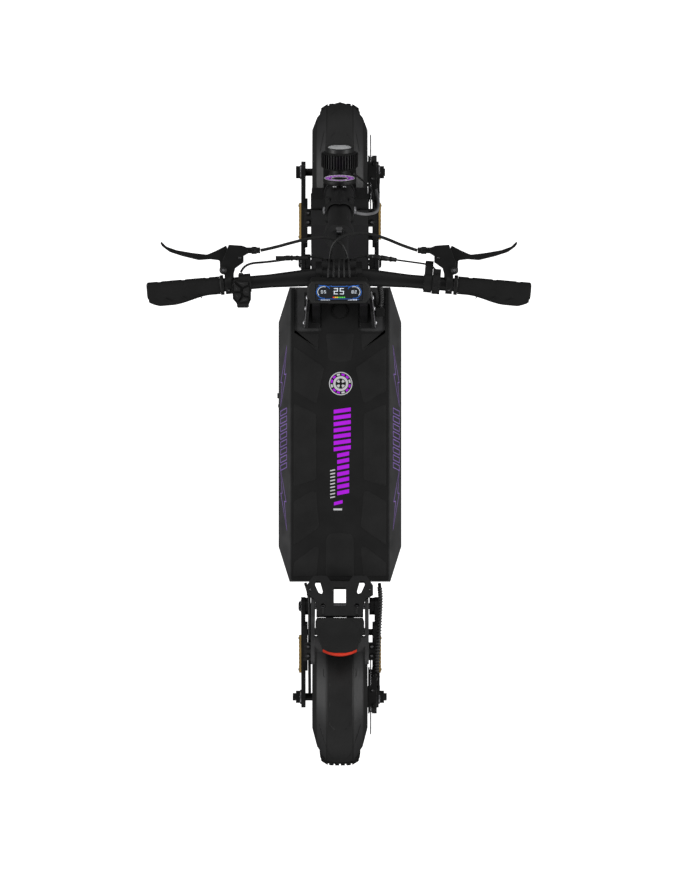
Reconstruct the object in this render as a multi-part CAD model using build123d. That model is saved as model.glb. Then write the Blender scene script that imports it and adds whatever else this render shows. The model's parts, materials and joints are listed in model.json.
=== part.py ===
from build123d import *
import math
import os

# Folding electric kick scooter. Millimetres. +Y is forward, +X is the rider's right, +Z is up.
# The origin is on the ground, midway between the two wheel axles, in the median plane.

# ---- driving dimensions -------------------------------------------------------------------
RUNNING = 0.06  # radial clearance of a shaft in its bore
FITTED = 0.02  # radial clearance of a clamped joint

TYRE_R, TYRE_HALF_W = 128.0, 38.0
RIM_R = 80.0
AXLE_Y, AXLE_Z, AXLE_R = 488.0, TYRE_R, 7.0

DECK_HALF_L, DECK_TAPER_Y = 272.0, 208.0
DECK_TOP_HALF_W, DECK_WIDE_HALF_W, DECK_FOOT_HALF_W = 93.0, 114.0, 98.0
DECK_BOTTOM_Z, DECK_WAIST_Z, DECK_TOP_Z = 114.0, 150.0, 200.0
DECK_WALL, COVER_T = 4.0, 3.0
MAT_HALF_W, MAT_T = 90.0, 5.0

STEER_Y, STEER_Z, STEER_LEAN = 466.0, 330.0, 14.0  # the steering axis at height s = 0, and its lean
STEERER_R, HEAD_R = 14.3, 22.0
HEAD_S0, HEAD_S1 = 12.0, 132.0
FOLD_S = 286.5  # fold pin, on the steering axis
LAMP_S, BADGE_S = 100.0, 175.0
COLLAR_S0, COLLAR_S1 = 464.0, 539.0
STEM_HEAD_F, STEM_HEAD_S = 1.4, 783.0

PIVOT_Y, PIVOT_Z, PIVOT_R = 318.0, 170.0, 6.0  # swingarm pivot, mirrored front to rear
BEAM_Y, BEAM_Z = 365.0, 199.0  # swingarm cross beam that carries the springs
SPRING_X, SPRING_R = 19.0, 14.0
SPRING_LOW, SPRING_HIGH = (352.0, 214.0), (383.0, 294.0)
HOST_X0, HOST_X1 = 46.0, 53.0  # pivot plates of the fork and of the deck's tail
ARM_X0, ARM_X1 = 64.0, 72.0
ROTOR_X0, ROTOR_X1, ROTOR_R = 56.0, 58.0, 70.0
CALIPER_Y, CALIPER_Z = 472.0, 200.0

FENDER_R, FENDER_HALF_W, FENDER_T = 142.0, 51.0, 3.0

BAR_Y, BAR_Z, BAR_BEND_X, BAR_SWEEP = 264.0, 1102.0, 40.0, 4.9
BAR_R, BAR_END_R, BAR_LENGTH = 14.5, 11.25, 279.0  # length is that of one side, from its bend
GRIP_T0, GRIP_T1 = 153.5, 281.0
LEVER_X, LEVER_Y = 193.5, 275.0


# ---- helpers ------------------------------------------------------------------------------
def block(x0, x1, y0, y1, z0, z1):
    """A box between two corners."""
    centre = Location(((x0 + x1) / 2, (y0 + y1) / 2, (z0 + z1) / 2))
    return centre * Box(x1 - x0, y1 - y0, z1 - z0)


def rod(axis, u, v, r, a, b):
    """A cylinder along X, Y or Z from a to b; u and v are its other two coordinates in order."""
    length = abs(b - a)
    mid = (a + b) / 2
    if axis == "X":
        return Location((mid, u, v)) * Rotation(0, 90, 0) * Cylinder(r, length)
    if axis == "Y":
        return Location((u, mid, v)) * Rotation(90, 0, 0) * Cylinder(r, length)
    return Location((u, v, mid)) * Cylinder(r, length)


def prism(axis, points, a, b):
    """A polygon extruded from a to b along an axis. Points are (y, z) for X and (x, y) for Z."""
    if axis == "X":
        plane = Plane((a, 0, 0), x_dir=(0, 1, 0), z_dir=(1, 0, 0))
    else:
        plane = Plane((0, 0, a), x_dir=(1, 0, 0), z_dir=(0, 0, 1))
    return extrude(plane * make_face(Polyline(*points, close=True)), amount=b - a)


def smooth_prism(axis, points, radius, a, b):
    """As prism, with each corner of the polygon rounded."""
    face = make_face(Polyline(*points, close=True))
    face = fillet(face.vertices(), radius)
    if axis == "X":
        plane = Plane((a, 0, 0), x_dir=(0, 1, 0), z_dir=(1, 0, 0))
    else:
        plane = Plane((0, 0, a), x_dir=(1, 0, 0), z_dir=(0, 0, 1))
    return extrude(plane * face, amount=b - a)


def link(x0, x1, c0, r0, c1, r1):
    """A tapered link plate in the side view between two round ends, from x0 to x1."""
    face = make_hull(Sketch() + Pos(*c0) * Circle(r0) + Pos(*c1) * Circle(r1))
    return face_x(face, x0, x1)


def face_x(face, x0, x1):
    """Extrudes a face drawn in (y, z) along X from x0 to x1."""
    return extrude(Plane((x0, 0, 0), x_dir=(0, 1, 0), z_dir=(1, 0, 0)) * face, amount=x1 - x0)


def make_hull(sketch):
    """The convex hull of the edges of a sketch as a face."""
    return Sketch() + make_face(Wire.make_convex_hull(sketch.edges()))


def both_sides(shape):
    """The shape and its mirror image across the median plane."""
    return shape + mirror(shape, about=Plane.YZ)


def to_rear(shape):
    """The mirror image of a front part at the rear."""
    return mirror(shape, about=Plane.XZ)


def steered(shape):
    """Moves a shape from the steering frame (x, f, s) to the scooter's frame."""
    return Location((0, STEER_Y, STEER_Z), (STEER_LEAN, 0, 0)) * shape


def tube(points, radius):
    """A round cable along straight runs joined by tangent arcs as large as the runs allow."""
    pts = [Vector(*p) for p in points]
    radii = []
    for before, here, after in zip(pts, pts[1:], pts[2:]):
        turn = (here - before).get_angle(after - here)
        run = min((here - before).length, (after - here).length)
        radii.append(0.45 * run / math.tan(math.radians(turn) / 2))
    path = FilletPolyline(*pts, radius=radii)
    start = Plane(path @ 0, z_dir=path % 0)
    swept = sweep(start * Circle(radius), path=path)
    ratio = swept.volume / (math.pi * radius**2 * path.length)
    print("tube length", round(path.length), "least radius", round(min(radii)), "volume ratio",
          round(ratio, 3))
    return swept


def save(name, shape):
    """Writes one named piece."""
    export_step(Compound(children=list(shape.solids())), f"parts/{name}.step")


# ---- deck ---------------------------------------------------------------------------------
def deck_box(inset):
    """The deck's solid outer form, shrunk by a wall thickness."""
    right = [
        (DECK_TOP_HALF_W - inset, DECK_TOP_Z - inset),
        (DECK_WIDE_HALF_W - inset, DECK_WAIST_Z),
        (DECK_FOOT_HALF_W - inset, DECK_BOTTOM_Z + inset),
    ]
    section = make_face(Polyline(*right, *[(-x, z) for x, z in reversed(right)], close=True))
    bar = extrude(Plane((0, DECK_HALF_L, 0), x_dir=(-1, 0, 0), z_dir=(0, 1, 0)) * section,
                  amount=-2 * DECK_HALF_L)
    wide, narrow, end = DECK_WIDE_HALF_W - inset, DECK_TOP_HALF_W - inset, DECK_HALF_L - inset
    front = [(wide, DECK_TAPER_Y), (narrow, end), (-narrow, end), (-wide, DECK_TAPER_Y)]
    outline = front + [(x, -y) for x, y in reversed(front)]
    return bar & prism("Z", outline, DECK_BOTTOM_Z - 1, DECK_TOP_Z + 1)


HATCH_HALF_W, HATCH_HALF_L = 80.0, 236.0  # opening below, which the bottom cover closes
CHARGE_Y, CHARGE_Z, CHARGE_R = 72.0, 132.0, 13.0
CHARGE_TILT = -math.degrees(math.atan2(DECK_WIDE_HALF_W - DECK_FOOT_HALF_W, DECK_WAIST_Z - DECK_BOTTOM_Z))
TAIL_OUTLINE = [(269, 130), (269, 236), (346, 288), (398, 303), (414, 306), (420, 300), (386, 250),
                (365, 230.5),
                (349.5, 207.5), (337, 180), (333, 160), (300, 138)]
LEG_OUTLINE = [(303, 168), (308, 190), (328, 221), (357, 259), (384, 285), (396, 307), (440, 321), (440, 303),
               (420, 300), (386, 250), (365, 230.5), (349.5, 207.5), (337, 180), (330, 158)]


def pivot_plate(outline):
    """Side plate that carries the swingarm's pivot and rises to the upper spring seat."""
    plate = prism("X", outline, HOST_X0, HOST_X1) + rod("X", PIVOT_Y, PIVOT_Z, 16, HOST_X0, HOST_X1)
    return plate - rod("X", PIVOT_Y, PIVOT_Z, PIVOT_R + FITTED, HOST_X0 - 1, HOST_X1 + 1)


def spring_perch():
    """Cross plate under the upper ends of the springs, square to them."""
    rise, run = SPRING_HIGH[1] - SPRING_LOW[1], SPRING_HIGH[0] - SPRING_LOW[0]
    tilt = -math.degrees(math.atan2(run, rise))
    plate = block(-HOST_X0 - 1, HOST_X0 + 1, -16, 13, 0, 7)
    return Location((0, SPRING_HIGH[0], SPRING_HIGH[1]), (tilt, 0, 0)) * plate


def flank(shape):
    """Places a shape drawn at the origin, facing -X, on the lower left flank at the charging socket."""
    x = -DECK_WIDE_HALF_W + (CHARGE_Z - DECK_WAIST_Z) * math.tan(math.radians(CHARGE_TILT))
    return Location((x, CHARGE_Y, CHARGE_Z), (0, CHARGE_TILT, 0)) * shape


def deck_shell():
    """Hollow aluminium deck box, open below, with the tail plates of the rear suspension."""
    shell = deck_box(0) - deck_box(DECK_WALL)
    shell -= block(-HATCH_HALF_W, HATCH_HALF_W, -HATCH_HALF_L, HATCH_HALF_L, DECK_BOTTOM_Z - 1,
                   DECK_BOTTOM_Z + 5)
    shell -= flank(rod("X", 0, 0, 9, -12, 12))
    tail = pivot_plate(TAIL_OUTLINE)
    tail -= smooth_prism("X", [(284, 172), (296, 172), (314, 205), (336, 238), (330, 262), (284, 232)], 5,
                         HOST_X0 - 1, HOST_X1 + 1)
    return shell + to_rear(both_sides(tail) + spring_perch())


def deck_bottom_cover():
    """Flat cover screwed under the deck."""
    plate = block(-86, 86, -242, 242, DECK_BOTTOM_Z - COVER_T, DECK_BOTTOM_Z)
    return fillet(plate.edges().filter_by(Axis.Z), 12)


PLUG_Y, PLUG_R = 226.0, 14.5


def deck_mat():
    """Rubber foot mat over the deck's top, cut out for the neck's feet."""
    mat = block(-MAT_HALF_W, MAT_HALF_W, -DECK_HALF_L + 3, DECK_HALF_L - 3, DECK_TOP_Z, DECK_TOP_Z + MAT_T)
    mat = fillet(mat.edges().filter_by(Axis.Z), 6)
    feet = both_sides(block(34, 84, 190, 280, DECK_TOP_Z - 1, DECK_TOP_Z + MAT_T + 1))
    plug = rod("Z", 0, PLUG_Y, PLUG_R, DECK_TOP_Z + MAT_T - 1, DECK_TOP_Z + MAT_T + 1)
    return mat - feet + plug


def battery_pack():
    """Shrink-wrapped lithium cell block in the deck's rear and middle."""
    pack = block(-76, 76, -225, 104, DECK_BOTTOM_Z + 8, DECK_TOP_Z - 8)
    return fillet(pack.edges(), 4)


def motor_controller():
    """Finned aluminium controller box in the deck's front."""
    body = block(-48, 48, 140, 240, DECK_BOTTOM_Z + 8, DECK_BOTTOM_Z + 50)
    for i in range(7):
        x = -42 + 14 * i
        body -= block(x - 3, x + 3, 139, 241, DECK_BOTTOM_Z + 38, DECK_BOTTOM_Z + 51)
    return body


def charge_cap():
    """Round rubber flap over the charging socket, with its hinge ear on top."""
    disc = rod("X", 0, 0, CHARGE_R, -3.5, -0.4)
    return flank(disc + block(-3.5, -0.4, -5, 5, CHARGE_R - 3, CHARGE_R + 5))


STAND_X, STAND_Y, STAND_Z = -90.0, 42.0, 96.0  # kickstand hinge, its axis along X
FOOT_X, FOOT_Y, FOOT_R = -108.0, 54.0, 9.0


def kickstand_bracket():
    """Bracket under the deck's edge with the stud that the kickstand turns on."""
    plate = block(STAND_X - 3, STAND_X + 20, STAND_Y - 18, STAND_Y + 18, DECK_BOTTOM_Z - 4, DECK_BOTTOM_Z)
    cheek = block(STAND_X + 1, STAND_X + 7, STAND_Y - 11, STAND_Y + 11, STAND_Z - 9, DECK_BOTTOM_Z - 3)
    stud = rod("X", STAND_Y, STAND_Z, 5, STAND_X - 12, STAND_X + 2)
    return plate + cheek + stud


def kickstand_leg():
    """Folding leg, down, with its round foot on the ground."""
    hub = rod("X", STAND_Y, STAND_Z, 9, STAND_X - 11, STAND_X + 0.6)
    path = Polyline((STAND_X - 6, STAND_Y, STAND_Z), (FOOT_X, FOOT_Y, 5))
    leg = sweep(Plane(path @ 0, z_dir=path % 0) * Circle(6), path=path)
    foot = rod("Z", FOOT_X, FOOT_Y, FOOT_R, 0, 7)
    bore = rod("X", STAND_Y, STAND_Z, 5 + RUNNING, STAND_X - 20, STAND_X + 10)
    return hub + leg + foot - bore


# ---- neck and head tube -------------------------------------------------------------------
NECK_X0, NECK_X1 = 37.0, 51.0


def neck_spine():
    """Welded neck: two side beams, the throat between them and the head tube."""
    outline = [(206, 206), (270, 206), (296, 243), (358, 312), (426, 344), (420, 420), (404, 446), (378, 436),
               (300, 346), (236, 262)]
    beam = prism("X", outline, NECK_X0, NECK_X1)
    beam -= smooth_prism("X", [(262, 246), (288, 262), (352, 330), (384, 352), (380, 396), (350, 384),
                               (298, 322)], 6,
                         NECK_X0 - 1, NECK_X1 + 1)
    web = prism("X", [(292, 330), (300, 346), (378, 436), (404, 446), (404, 438), (382, 428), (302, 336)],
                -NECK_X0 - 1, NECK_X0 + 1)
    throat = steered(block(-NECK_X1, NECK_X1, -50, -12, 22, 122))
    head = steered(rod("Z", 0, 0, HEAD_R, HEAD_S0, HEAD_S1))
    bore = steered(rod("Z", 0, 0, STEERER_R + RUNNING, HEAD_S0 - 1, HEAD_S1 + 1))
    relief = steered(rod("Z", 0, 0, STEERER_R + 3, HEAD_S0 + 16, HEAD_S1 - 16))
    return both_sides(beam) + web + throat + head - bore - relief


def neck_gussets():
    """Angle brackets that tie the neck's beams to the deck: a foot flange and a raking wall."""
    flange = block(37, 66, 196, 262, DECK_TOP_Z, DECK_TOP_Z + 6)
    wall = prism("Z", [(60, 196), (66, 196), (58, 262), (52, 262)], DECK_TOP_Z, 330)
    side = prism("X", [(196, DECK_TOP_Z), (262, DECK_TOP_Z), (262, 296), (250, 290), (226, 246),
                       (196, 218)], 40, 70)
    spine = block(51, 55, 240, 262, DECK_TOP_Z + 6, 284)
    return both_sides(flange + (wall & side) + spine - block(36, 51.1, 204, 272, DECK_TOP_Z + 5.9, 330))


def deck_bolts():
    """Button-head bolts of the neck brackets, and the rear swingarm's pivot bolt."""
    heads = Part()
    for y in (206, 232, 252):
        x = 66 - (y - 196) * 8 / 66
        heads += rod("X", y, DECK_TOP_Z + 16, 4.5, x - 0.5, x + 4)
    return both_sides(heads) + to_rear(pivot_bolt())


def pivot_bolt():
    """Through bolt of a swingarm pivot with its two caps."""
    bolt = rod("X", PIVOT_Y, PIVOT_Z, PIVOT_R, -ARM_X1 - 1, ARM_X1 + 1)
    return bolt + both_sides(rod("X", PIVOT_Y, PIVOT_Z, 11, ARM_X1 + 0.3, ARM_X1 + 5))


# ---- tail plate and rear light ------------------------------------------------------------
TAIL_Y, TAIL_Z, TAIL_RISE = -259.0, 237.0, 34.3


def on_tail(shape):
    """Places a shape drawn flat, front edge at y 0, on the rising tail."""
    return Location((0, TAIL_Y, TAIL_Z), (-TAIL_RISE, 0, 0)) * shape


def kick_plate():
    """Butterfly-shaped foot plate over the rear pivot, with lightening slots."""
    right = [(17, -13), (24, -1), (49, -1), (61, -22), (61, -40), (47, -50), (43, -62), (43, -88)]
    plate = prism("Z", right + [(-x, y) for x, y in reversed(right)], -6, 0)
    plate -= block(-11, 11, -66, -27, -7, 1)
    slot = smooth_prism("Z", [(36, -13), (45, -13), (46, -20), (39, -38), (33, -41), (31, -34)], 1.5, -7, 1)
    plate -= both_sides(slot + rod("Z", 31, -66, 5, -7, 1))
    return on_tail(plate)


LIGHT_RIM = [(31, 44), (22, 48.5), (10, 51), (-10, 51), (-22, 48.5), (-31, 44)]
LIGHT_OUTLINE = [(42, -15), (44.5, -8), (44.5, 8), *LIGHT_RIM, (-44.5, 8), (-44.5, -8), (-42, -15)]


def on_light(shape):
    """Places a shape drawn flat, front edge at y 0, over the tail light's seat."""
    return Location((0, -349.5, 312), (-16, 0, 0)) * shape


def taillight_housing():
    """Tapered cover behind the kick plate that holds the rear light."""
    body = prism("Z", [(x, -y) for x, y in LIGHT_OUTLINE], -10, 2)
    inside = prism("Z", [(x * 0.9, -y * 0.88 - 3) for x, y in LIGHT_OUTLINE], -15, -2)
    ears = both_sides(block(41, HOST_X0, -366, -354, 284, 318))
    return on_light(body - inside) + (ears - on_light(block(-60, 60, -80, 40, 0, 40)))


def taillight_lens():
    """Curved red strip along the cover's rear edge."""
    outer = [(-31.5, 48.5), (-23, 53.5), (-10.5, 56), (10.5, 56), (23, 53.5), (31.5, 48.5)]
    strip = prism("Z", [(x, -y) for x, y in LIGHT_RIM + outer], -9, 0)
    return on_light(strip)


def deck_cables():
    """Front cable sleeve with its grommet block, the motor cable and the rear brake hose."""
    grommet = block(66, 82, 218, 234, DECK_TOP_Z, DECK_TOP_Z + 16)
    sleeve = tube([(74, 230, 208), (76, 250, 212), (74, 270, 228), (68, 288, 254), (60, 300, 280)], 4.5)
    motor = tube([(-64, -275, 184), (-58, -296, 192), (-56.3, -322, 200), (-56.3, -356, 210.5),
                  (-56.3, -395, 208),
                  (-56.3, -430, 188), (-56.3, -460, 160), (-56.3, -480, 140)], 2.8)
    brake = tube([(73, -276, 186), (75, -304, 206), (73.5, -340, 222), (71, -382, 231), (69.5, -414, 229.5),
                  (68.5, -438, 225)], 4)
    return grommet + sleeve + motor + brake


# ---- suspension, built at the front and mirrored to the rear ------------------------------
def swingarm():
    """Trailing-arm casting: two arms, the cross beam, spring seats and the fender's pads."""
    arm = link(ARM_X0, ARM_X1, (AXLE_Y, AXLE_Z), 20, (PIVOT_Y, PIVOT_Z), 17)
    boss = rod("X", PIVOT_Y, PIVOT_Z, 16, HOST_X1 + 1.3, ARM_X0)
    riser = smooth_prism("X", [(346, 160), (352, 206), (384, 221), (417, 221), (426, 206), (440, 146)], 5,
                         60, 68)
    riser -= smooth_prism("X", [(374, 180), (378, 204), (410, 208), (416, 180)], 4, 59, 69)
    pad = block(52, 67, 383, 416, 215, 221)
    beam = rod("X", BEAM_Y, BEAM_Z, 6, 0, 61)
    rise, run = SPRING_HIGH[1] - SPRING_LOW[1], SPRING_HIGH[0] - SPRING_LOW[0]
    tilt = -math.degrees(math.atan2(run, rise))
    seat = Location((SPRING_X, SPRING_LOW[0], SPRING_LOW[1]), (tilt, 0, 0)) * Pos(0, 0, -7) * Cylinder(12, 14)
    holes = rod("X", PIVOT_Y, PIVOT_Z, PIVOT_R + RUNNING, 50, 80)
    holes += rod("X", AXLE_Y, AXLE_Z, AXLE_R + FITTED, 50, 80)
    return both_sides(arm + boss + riser + pad + beam + seat - holes)


def springs():
    """Twin coil springs, as sleeves of their outer size."""
    low, high = Vector(SPRING_X, *SPRING_LOW), Vector(SPRING_X, *SPRING_HIGH)
    length = (high - low).length
    sleeve = Cylinder(SPRING_R, length) - Cylinder(SPRING_R - 4.5, length + 2)
    return both_sides(Plane(low, z_dir=high - low).location * Pos(0, 0, length / 2) * sleeve)


def axle(left, right):
    """Wheel axle with washers and hexagon nuts; left and right are where its ends lie."""
    shaft = rod("X", AXLE_Y, AXLE_Z, AXLE_R, -left, right)
    nut = extrude(Plane.YZ * RegularPolygon(11.5, 6), amount=8)
    washers = both_sides(rod("X", AXLE_Y, AXLE_Z, 13, ARM_X1, ARM_X1 + 2))
    right_nut = Location((ARM_X1 + 2, AXLE_Y, AXLE_Z)) * nut
    left_nut = Location((-ARM_X1 - 10, AXLE_Y, AXLE_Z)) * nut
    return shaft + washers + right_nut + left_nut


AXLE_PLANE = Plane((0, AXLE_Y, AXLE_Z), x_dir=(1, 0, 0), z_dir=(0, 0, 1))  # sections turned about the axle
FENDER_BACK, FENDER_FRONT = 139.0, 27.0  # angles of its two ends from straight ahead
FRONT_NOSE = [(60, 540), (49, 566), (40, 590), (24, 606), (0, 615)]
REAR_NOSE = [(60, 520), (51, 540), (38, 590), (19, 605)]


def fender(nose):
    """Moulded mudguard: a faceted arch over the tyre, trimmed by its nose, with tabs on the pads."""
    w, r, t = FENDER_HALF_W, FENDER_R, FENDER_T
    outer = [(0, r), (24, r), (43, r - 10), (w, r - 26), (w, r - 48)]
    inner = [(w - t, r - 48), (w - t, r - 27), (41, r - 13), (23, r - t), (0, r - t)]
    face = AXLE_PLANE * make_face(Polyline(*outer, *inner, close=True))
    hub_line = Axis(AXLE_PLANE.origin, (1, 0, 0))
    arch = both_sides(revolve(face.rotate(hub_line, FENDER_FRONT), axis=hub_line,
                              revolution_arc=FENDER_BACK - FENDER_FRONT))
    left_nose = [(-x, y) for x, y in reversed(nose) if x > 0]
    arch &= prism("Z", nose + left_nose + [(-60, 300), (60, 300)], 0, 400)
    tab = block(42, 66, 383, 416, 221, 224)
    bolts = rod("Z", 59, 391, 4, 224, 227) + rod("Z", 59, 408, 4, 224, 227)
    return arch + both_sides(tab + bolts)


def reflectors(near, far):
    """Amber side reflectors on the arms' outer faces, between two distances from the middle."""
    plate = block(ARM_X1, ARM_X1 + 4, near, far, 138, 160)
    return both_sides(fillet(plate.edges().filter_by(Axis.X), 3))


def caliper():
    """Disc brake caliper with its bracket to the right arm and two mounting bolts."""
    body = smooth_prism("X", [(430, 190), (436, 182), (508, 182), (516, 190), (514, 206), (500, 216),
                              (446, 216),
                              (432, 206)], 4, 52, 68)
    body -= block(ROTOR_X0 - 1.2, ROTOR_X1 + 1.2, 420, 530, 170, 207)
    bracket = smooth_prism("X", [(448, 138), (472, 140), (482, 190), (452, 190)], 3, 60, ARM_X0)
    bolts = rod("Z", 64, 444, 4, 214, 219) + rod("Z", 64, 500, 4, 214, 219)
    return body + bracket + bolts


def caliper_arm():
    """Brake actuating arm that the cable pulls."""
    hub = rod("X", CALIPER_Y, CALIPER_Z, 9, 68.4, 74)
    return hub + link(70, 73.5, (CALIPER_Y, CALIPER_Z), 7, (CALIPER_Y - 32, CALIPER_Z + 14), 4.5)


def tyre():
    """Wide pneumatic tyre with a flat crown: a U section turned about the axle."""
    w, r = TYRE_HALF_W, TYRE_R
    outer = [(27, RIM_R), (w - 2, 92), (w, 104), (w - 2, 115), (30, 123.5), (20, r), (0, r)]
    inner = [(0, r - 9), (20, r - 9.5), (28, 114), (w - 8, 103), (w - 10, 93), (21, RIM_R)]
    face = AXLE_PLANE * make_face(Polyline(*outer, *inner, close=True))
    return both_sides(revolve(face, axis=Axis(AXLE_PLANE.origin, (1, 0, 0))))


def wheel_hub(drum_r, drum_half_w, spokes):
    """Cast rim and hub; a hub motor has a wide drum and no spokes."""
    rim = rod("X", AXLE_Y, AXLE_Z, RIM_R, -28, 28) - rod("X", AXLE_Y, AXLE_Z, RIM_R - 8, -29, 29)
    web = rod("X", AXLE_Y, AXLE_Z, RIM_R - 6, -7, 7)
    for i in range(spokes):
        web -= Location((0, AXLE_Y, AXLE_Z), (360 * i / spokes, 0, 0)) * block(-10, 10, -13, 13, 36, 66)
    drum = rod("X", AXLE_Y, AXLE_Z, drum_r, -drum_half_w, drum_half_w)
    boss = rod("X", AXLE_Y, AXLE_Z, 20, -50, ROTOR_X0)
    return rim + web + drum + boss - rod("X", AXLE_Y, AXLE_Z, AXLE_R + RUNNING, -60, 60)


def rotor():
    """Brake disc with six windows on the hub's right end."""
    disc = rod("X", AXLE_Y, AXLE_Z, ROTOR_R, ROTOR_X0, ROTOR_X1) - rod("X", AXLE_Y, AXLE_Z, 11, 40, 60)
    for i in range(6):
        disc -= Location((0, AXLE_Y, AXLE_Z), (60 * i, 0, 0)) * rod("X", 0, 42, 9, 40, 60)
    return disc


# ---- fork ---------------------------------------------------------------------------------
def front_fork():
    """Steerer tube, crown and the two rear-reaching legs that carry the swingarm's pivot."""
    steerer = steered(rod("Z", 0, 0, STEERER_R, -20, 200) - rod("Z", 0, 0, STEERER_R - 3, -10, 201))
    crown = block(-30, 30, -75, 28, -27, 0)
    crown = fillet(crown.edges().filter_by(Axis.Z), 10) + block(-HOST_X1, HOST_X1, -75, -40, -27, 0)
    crown = steered(crown)
    crown -= block(-30, 30, 380, 470, 270, 303)
    return steerer + crown + both_sides(pivot_plate(LEG_OUTLINE)) + spring_perch()


YOKE_R, COLLAR_R = 24.0, 25.0
SHIELD_R0, SHIELD_R1 = 22.5, 25.5


def vee_trim(radius, s_side, s_front):
    """All that lies above a V edge climbing from both sides to the front, to trim a sleeve with."""
    reach = radius + 6
    outline = [(-reach, s_side - 6), (0, s_front), (reach, s_side - 6), (reach, s_front + 90),
               (-reach, s_front + 90)]
    plane = Plane((0, -reach, 0), x_dir=(1, 0, 0), z_dir=(0, -1, 0))
    return extrude(plane * make_face(Polyline(*outline, close=True)), amount=-2 * reach)


def fold_base():
    """Clamp on the steerer, with the fold hinge's two cheeks and the chevron shield in front."""
    body = rod("Z", 0, 0, COLLAR_R, 136, FOLD_S - 27) + rod("Z", 0, 0, 28, 136, 150)
    bore = rod("Z", 0, 0, STEERER_R + FITTED, 135, 201)
    cheek = rod("X", 0, FOLD_S, YOKE_R, 17, 25) + block(17, 25, -18, 18, FOLD_S - 34, FOLD_S)
    cheek = cheek & rod("Z", 0, 0, 30, 150, 330)
    shield = rod("Z", 0, 0, SHIELD_R1, FOLD_S - 30, 346) - rod("Z", 0, 0, SHIELD_R0, FOLD_S - 27, 347)
    shield = shield & block(-30, 30, 4, 30, 200, 350)
    shield -= vee_trim(SHIELD_R1, 302, 346)
    hole = rod("X", 0, FOLD_S, 5 + RUNNING, 0, 40)
    return steered(body + both_sides(cheek) + shield - both_sides(hole) - bore)


def fork_pins():
    """Fold hinge pin with its bright ends, and the front swingarm's pivot bolt."""
    fold = rod("X", 0, FOLD_S, 5, -26, 26) + both_sides(rod("X", 0, FOLD_S, 7.5, 25.8, 30))
    return steered(fold) + pivot_bolt()


RIBS = 24


def headlight_housing():
    """Ribbed lamp on a bracket that comes down from the fold base in front of the head tube."""
    barrel = rod("Y", 0, LAMP_S, 18, 26, 40) + rod("Y", 0, LAMP_S, 31, 38, 70)
    barrel += rod("Y", 0, LAMP_S, 26, 68, 77)
    ribs = Part()
    for i in range(RIBS):
        ribs += Location((0, 0, LAMP_S), (0, 360 * i / RIBS, 0)) * block(-1.3, 1.3, 42, 68, 29, 33.5)
    cup = rod("Y", 0, LAMP_S, 22.6, 66, 78)
    bracket = block(-13, 13, 25.5, 31, LAMP_S - 14, 144) - rod("Z", 0, 0, 28, 130, 151)
    return steered(barrel + ribs - cup + bracket)


def headlight_lens():
    """Clear lens of the lamp, with a domed edge."""
    lens = rod("Y", 0, LAMP_S, 22.5, 66, 77.5)
    return steered(fillet(lens.edges().sort_by(Axis.Y)[-1:], 3))


def front_badge():
    """Round blank badge on a short stalk in front of the fold base, with its two screws."""
    disc = rod("Y", 0, BADGE_S, 29.5, 28, 36)
    disc = fillet(disc.edges().sort_by(Axis.Y)[-1:], 2)
    stalk = rod("Y", 0, BADGE_S, 12, 25.1, 30)
    screws = both_sides(rod("Y", 9, BADGE_S + 40, 4, 24.7, 28))
    return steered(disc + stalk + screws)


def front_cables():
    """Front brake hose and the lamp's lead, from the fold base to the right of the wheel."""
    brake = tube([(27, 396, 540), (44, 394, 512), (60, 397, 478), (68, 404, 435), (70, 416, 375),
                  (70, 432, 300), (67, 446, 244), (66, 450, 222)], 2.5)
    lead = tube([(26, 466, 508), (36, 460, 488), (48, 452, 440), (57, 444, 385), (60, 432, 335),
                 (62, 412, 290)], 1.8)
    return brake + lead


# ---- stem ---------------------------------------------------------------------------------
TUBE_R, UPPER_R = 20.0, 15.8


def stem_tube():
    """Folding stem: hinge tongue, main tube, chevron-topped collar and slim upper tube."""
    slab = block(-16.5, 16.5, -30, 30, FOLD_S - 30, 325)
    ball = Location((0, 0, FOLD_S)) * Sphere(20)
    tongue = (ball + rod("Z", 0, 0, 20, FOLD_S, 324)) & slab
    tongue -= rod("X", 0, FOLD_S, 5 + RUNNING, -30, 30)
    main = rod("Z", 0, 0, TUBE_R, FOLD_S + 32, COLLAR_S0 + 20) - rod("Z", 0, 0, TUBE_R - 3, FOLD_S + 45,
                                                                     COLLAR_S0 + 21)
    collar = rod("Z", 0, 0, COLLAR_R, COLLAR_S0, COLLAR_S1) - vee_trim(COLLAR_R, 500, COLLAR_S1)
    collar -= rod("Z", 0, 0, TUBE_R - 3, COLLAR_S0 - 1, COLLAR_S0 + 10)
    upper = rod("Z", 0, 0, UPPER_R, COLLAR_S0 + 10, STEM_HEAD_S - 6)
    core = rod("Z", 0, 0, UPPER_R - 2.5, COLLAR_S0 + 4, STEM_HEAD_S - 40)
    catch = block(-6, 6, 14, 16.5, 560, 580)
    hole = rod("X", 20.5, 572, 2 + RUNNING, -10, 10)
    ears = both_sides(block(4, 7, 14, 24, 566, 578))
    return steered(tongue + main + collar + upper - core + catch + ears - hole)


def fold_latch():
    """Small release lever on the stem's front, above the collar."""
    lever = block(-3.4, 3.4, 19.4, 23.6, 543, 570) + block(-6, 6, 20, 23.6, 541, 553)
    return steered(lever + rod("X", 20.5, 572, 2, -7, 7) + rod("X", 20.5, 572, 3.6, -3.4, 3.4))


def on_bar(shape):
    """Places a shape drawn on the right half of the bar: x outward from the bend, y forward."""
    return Location((BAR_BEND_X, BAR_Y, BAR_Z), (0, 0, -BAR_SWEEP)) * shape


def bar_centre(radius, x0, x1):
    """A cylinder on the bar's straight middle, on the right side."""
    return rod("X", BAR_Y, BAR_Z, radius, x0, x1)


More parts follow.
